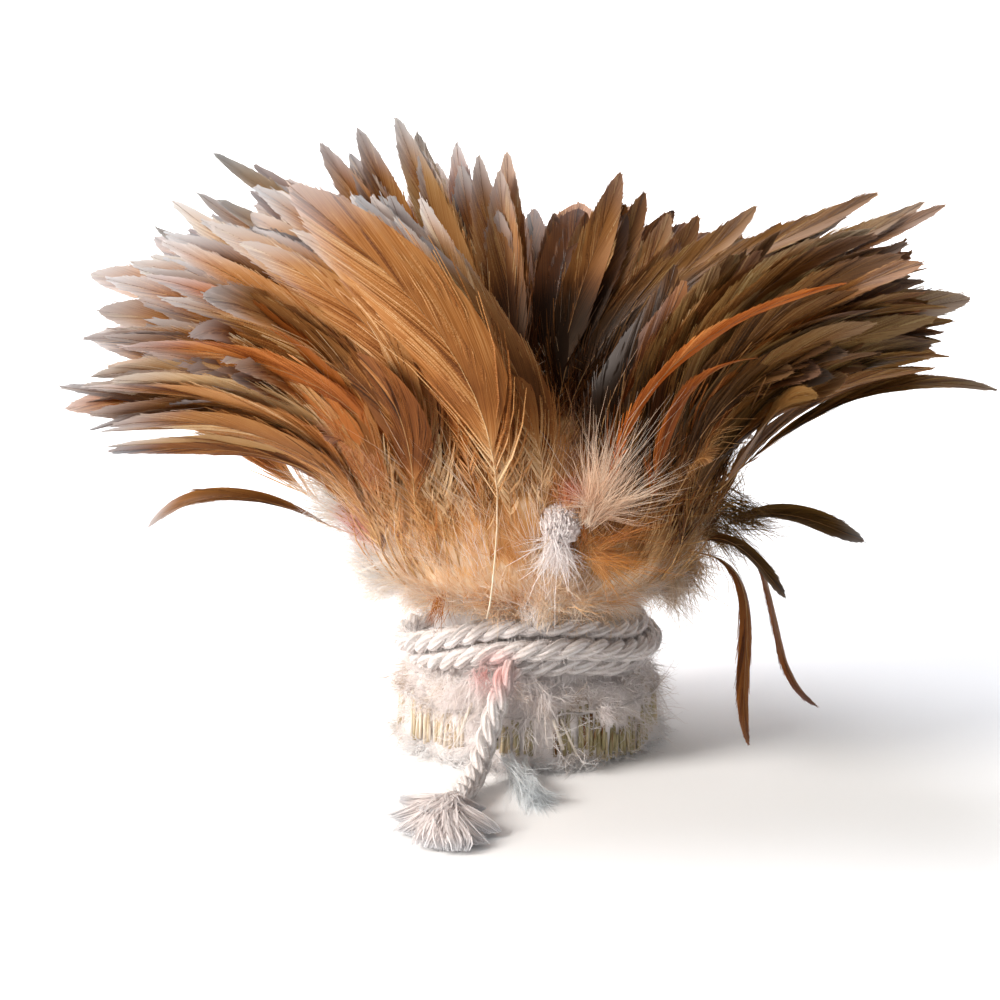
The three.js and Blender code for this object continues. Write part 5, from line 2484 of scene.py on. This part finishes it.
@dataclass
class UpperEnd:
    """The rope's other end, which stands up in front of the down with a brushed-out head."""

    centre: Point = (7.2, -42.8, 66.2)
    radius: float = 4.9
    yarns: int = 1500
    sheath: Sequence[Lock] = (
        Lock((6.6, -42.6, 64.0), (5.0, -40.0, 52.0), (1.3, 1.9), 26),
        Lock((6.0, -41.6, 60.0), (8.0, -40.5, 53.0), (1.3, 1.6), 14),
        Lock((6.6, -43.0, 63.0), (2.6, -42.5, 60.0), (0.8, 0.8), 4),
    )
    cover: Sequence[Lock] = (
        Lock((3.2, -34.0, 43.0), (3.0, -38.0, 51.0), (1.3, 2.4), 34, 0.14),
        Lock((5.5, -36.5, 47.0), (6.5, -40.0, 55.0), (1.6, 2.4), 26, 0.18),
        Lock((10.0, -35.5, 45.0), (12.0, -39.5, 53.0), (1.6, 2.6), 22, 0.22),
    )

    def build(self) -> None:
        """Builds the end and its brush as one piece."""
        line = catmull_rom(UPPER_END_ROUTE, 60)[0]
        rope = Rope("tie_upper_rope", line, FRONT, radius=0.85 * ROPE_RADIUS, lay=15.0)
        rng = generator("tie_sheath")
        sheath = tufts(self.sheath, rng, hairs=9, scatter=0.5, fan=0.2, curl=0.16, width=(0.16, 0.32))
        parts = [rope.mesh(), rope.lint(20.0), self.brush(line), sheath.mesh("tie_sheath")]
        mesh = merged("tie_upper_rope", parts)
        finishes = [COTTON, LOOSE_COTTON, LOOSE_COTTON, LOOSE_COTTON]
        piece("tie_upper_rope", mesh, finishes, ["tie_upper_end"])
        rng = generator("down_over_rope")
        cover = tufts(self.cover, rng, hairs=14, scatter=0.8, fan=0.25, curl=0.12, lift=(0.8, 0.8))
        cover.build("down_over_rope", "down_cream", DownFinish())

    def brush(self, line: Array) -> Mesh:
        """Builds the short cut yarns that burst from the rope's end.

        Args:
            line: The line of the rope.

        Returns:
            The mesh.
        """
        rng = generator("tie_brush")
        heading = unit(line[-1] - line[-8])
        aim = unit(rng.normal(0.0, 1.0, (self.yarns, 3)) + 0.75 * heading + [0.0, -0.35, 0.0])
        start = line[-1] - heading * 2.2 + rng.normal(0.0, 0.7, (self.yarns, 3))
        centre = np.array(self.centre)
        end = centre + aim * self.radius * rng.uniform(0.7, 1.08, (self.yarns, 1)) * [1, 0.9, 1]
        middle = mixed(start, end, 0.5) + aim * 0.8 + rng.normal(0.0, 0.4, end.shape)
        late = mixed(start, end, 0.85) + aim * 0.5 + rng.normal(0.0, 0.5, end.shape)
        curves = np.stack([start, middle, late, end], 1)
        width = rng.uniform(0.26, 0.5, self.yarns)
        facing = unit(rng.normal(0.0, 0.5, aim.shape) + 0.3 * aim + [-0.4, -1.0, 0.4])
        mesh, _ = hairs("tie_brush", strip(4), curves, facing, width, 0.7)
        return mesh


# Plumes


@dataclass
class TuftPlume:
    """A fan of soft, curly plumes beside the rope's brushed-out head."""

    node: str = "tuft_plume"
    foot: Point = (13.2, -44.6, 68.0)
    tips: Sequence[Point] = (
        (28.5, -45.5, 73.0), (29.5, -46.5, 78.0), (27.0, -47.0, 82.5), (24.0, -47.0, 86.0),
        (19.5, -46.5, 87.0), (14.5, -46.0, 86.0), (11.0, -45.5, 83.0),
    )
    wisps: Sequence[Lock] = (
        Lock((15.0, -44.0, 60.0), (29.0, -44.0, 56.5), (0.9, 2.2), 7, 0.7),
        Lock((15.5, -44.0, 61.0), (30.0, -44.5, 70.0), (0.9, 2.2), 7, 0.75),
        Lock((15.0, -44.0, 59.0), (24.0, -43.5, 50.0), (1.2, 2.4), 9, 0.6),
        Lock((12.5, -43.5, 66.0), (15.0, -43.5, 58.5), (0.8, 1.4), 6, 0.8),
    )

    def build(self) -> None:
        """Builds the fan and the golden wisps at its foot."""
        rng = generator(self.node)
        fan = tufts(
            [Lock(self.foot, tip, (0.9, 1.9), 7, 0.42, 0.3) for tip in self.tips], rng, hairs=11,
            scatter=0.5, fan=0.14, bow=0.34, curl=0.1, lift=(0.6, 1.0), width=(0.09, 0.18),
        )
        wisps = tufts(self.wisps, rng, hairs=10, scatter=0.6, fan=0.12, bow=0.1, lift=(0.6, 0.6))
        mesh = merged(self.node, [fan.mesh(self.node), wisps.mesh(self.node + "_wisps")])
        piece(self.node + "_down", mesh, [DownFinish()] * 2, [self.node])


@dataclass
class LoosePlume:
    """The dense bluish white plume that lies on the floor before the roll."""

    node: str = "loose_plume"
    locks: Sequence[Lock] = (
        Lock((-2.0, -31.0, 1.6), (1.5, -50.0, 0.9), (1.3, 0.7), 20, -0.05, frost=0.9),
        Lock((0.0, -40.0, 1.3), (2.4, -54.0, 0.8), (1.0, 0.6), 16, -0.05, frost=0.9),
        Lock((1.2, -43.0, 1.2), (7.2, -49.0, 0.9), (0.6, 0.4), 6, -0.05, frost=0.9),
        Lock((-3.5, -29.5, 2.4), (0.0, -42.0, 1.1), (1.6, 1.1), 16, -0.05, frost=0.8),
    )

    def build(self) -> None:
        """Builds the plume."""
        rng = generator(self.node)
        plume = tufts(
            self.locks, rng, hairs=14, scatter=0.5, fan=0.1, bow=0.05, lift=(0.0, 0.0), width=(0.1, 0.2)
        )
        plume.out = np.tile(UP, (len(plume.root), 1))
        plume.build(self.node + "_down", "down_white", DownFinish(), [self.node])


def main() -> None:
    """Builds the bundle, piece by piece, in its studio."""
    logging.basicConfig(level=logging.INFO, format="%(name)s %(message)s")
    studio = Studio()
    studio.camera()
    TieTail().build()
    TieTurns().build()
    UpperEnd().build()
    QuillRoll().build()
    DownCollar().build()
    for layer in LAYERS:
        layer.build()
    Heart().build()
    for sweep in SWEEPS:
        sweep.build()
    for crown in CROWNS:
        crown.build()
    TuftPlume().build()
    LoosePlume().build()
    studio.lights()
    studio.floor()


if __name__ == "__main__":
    main()
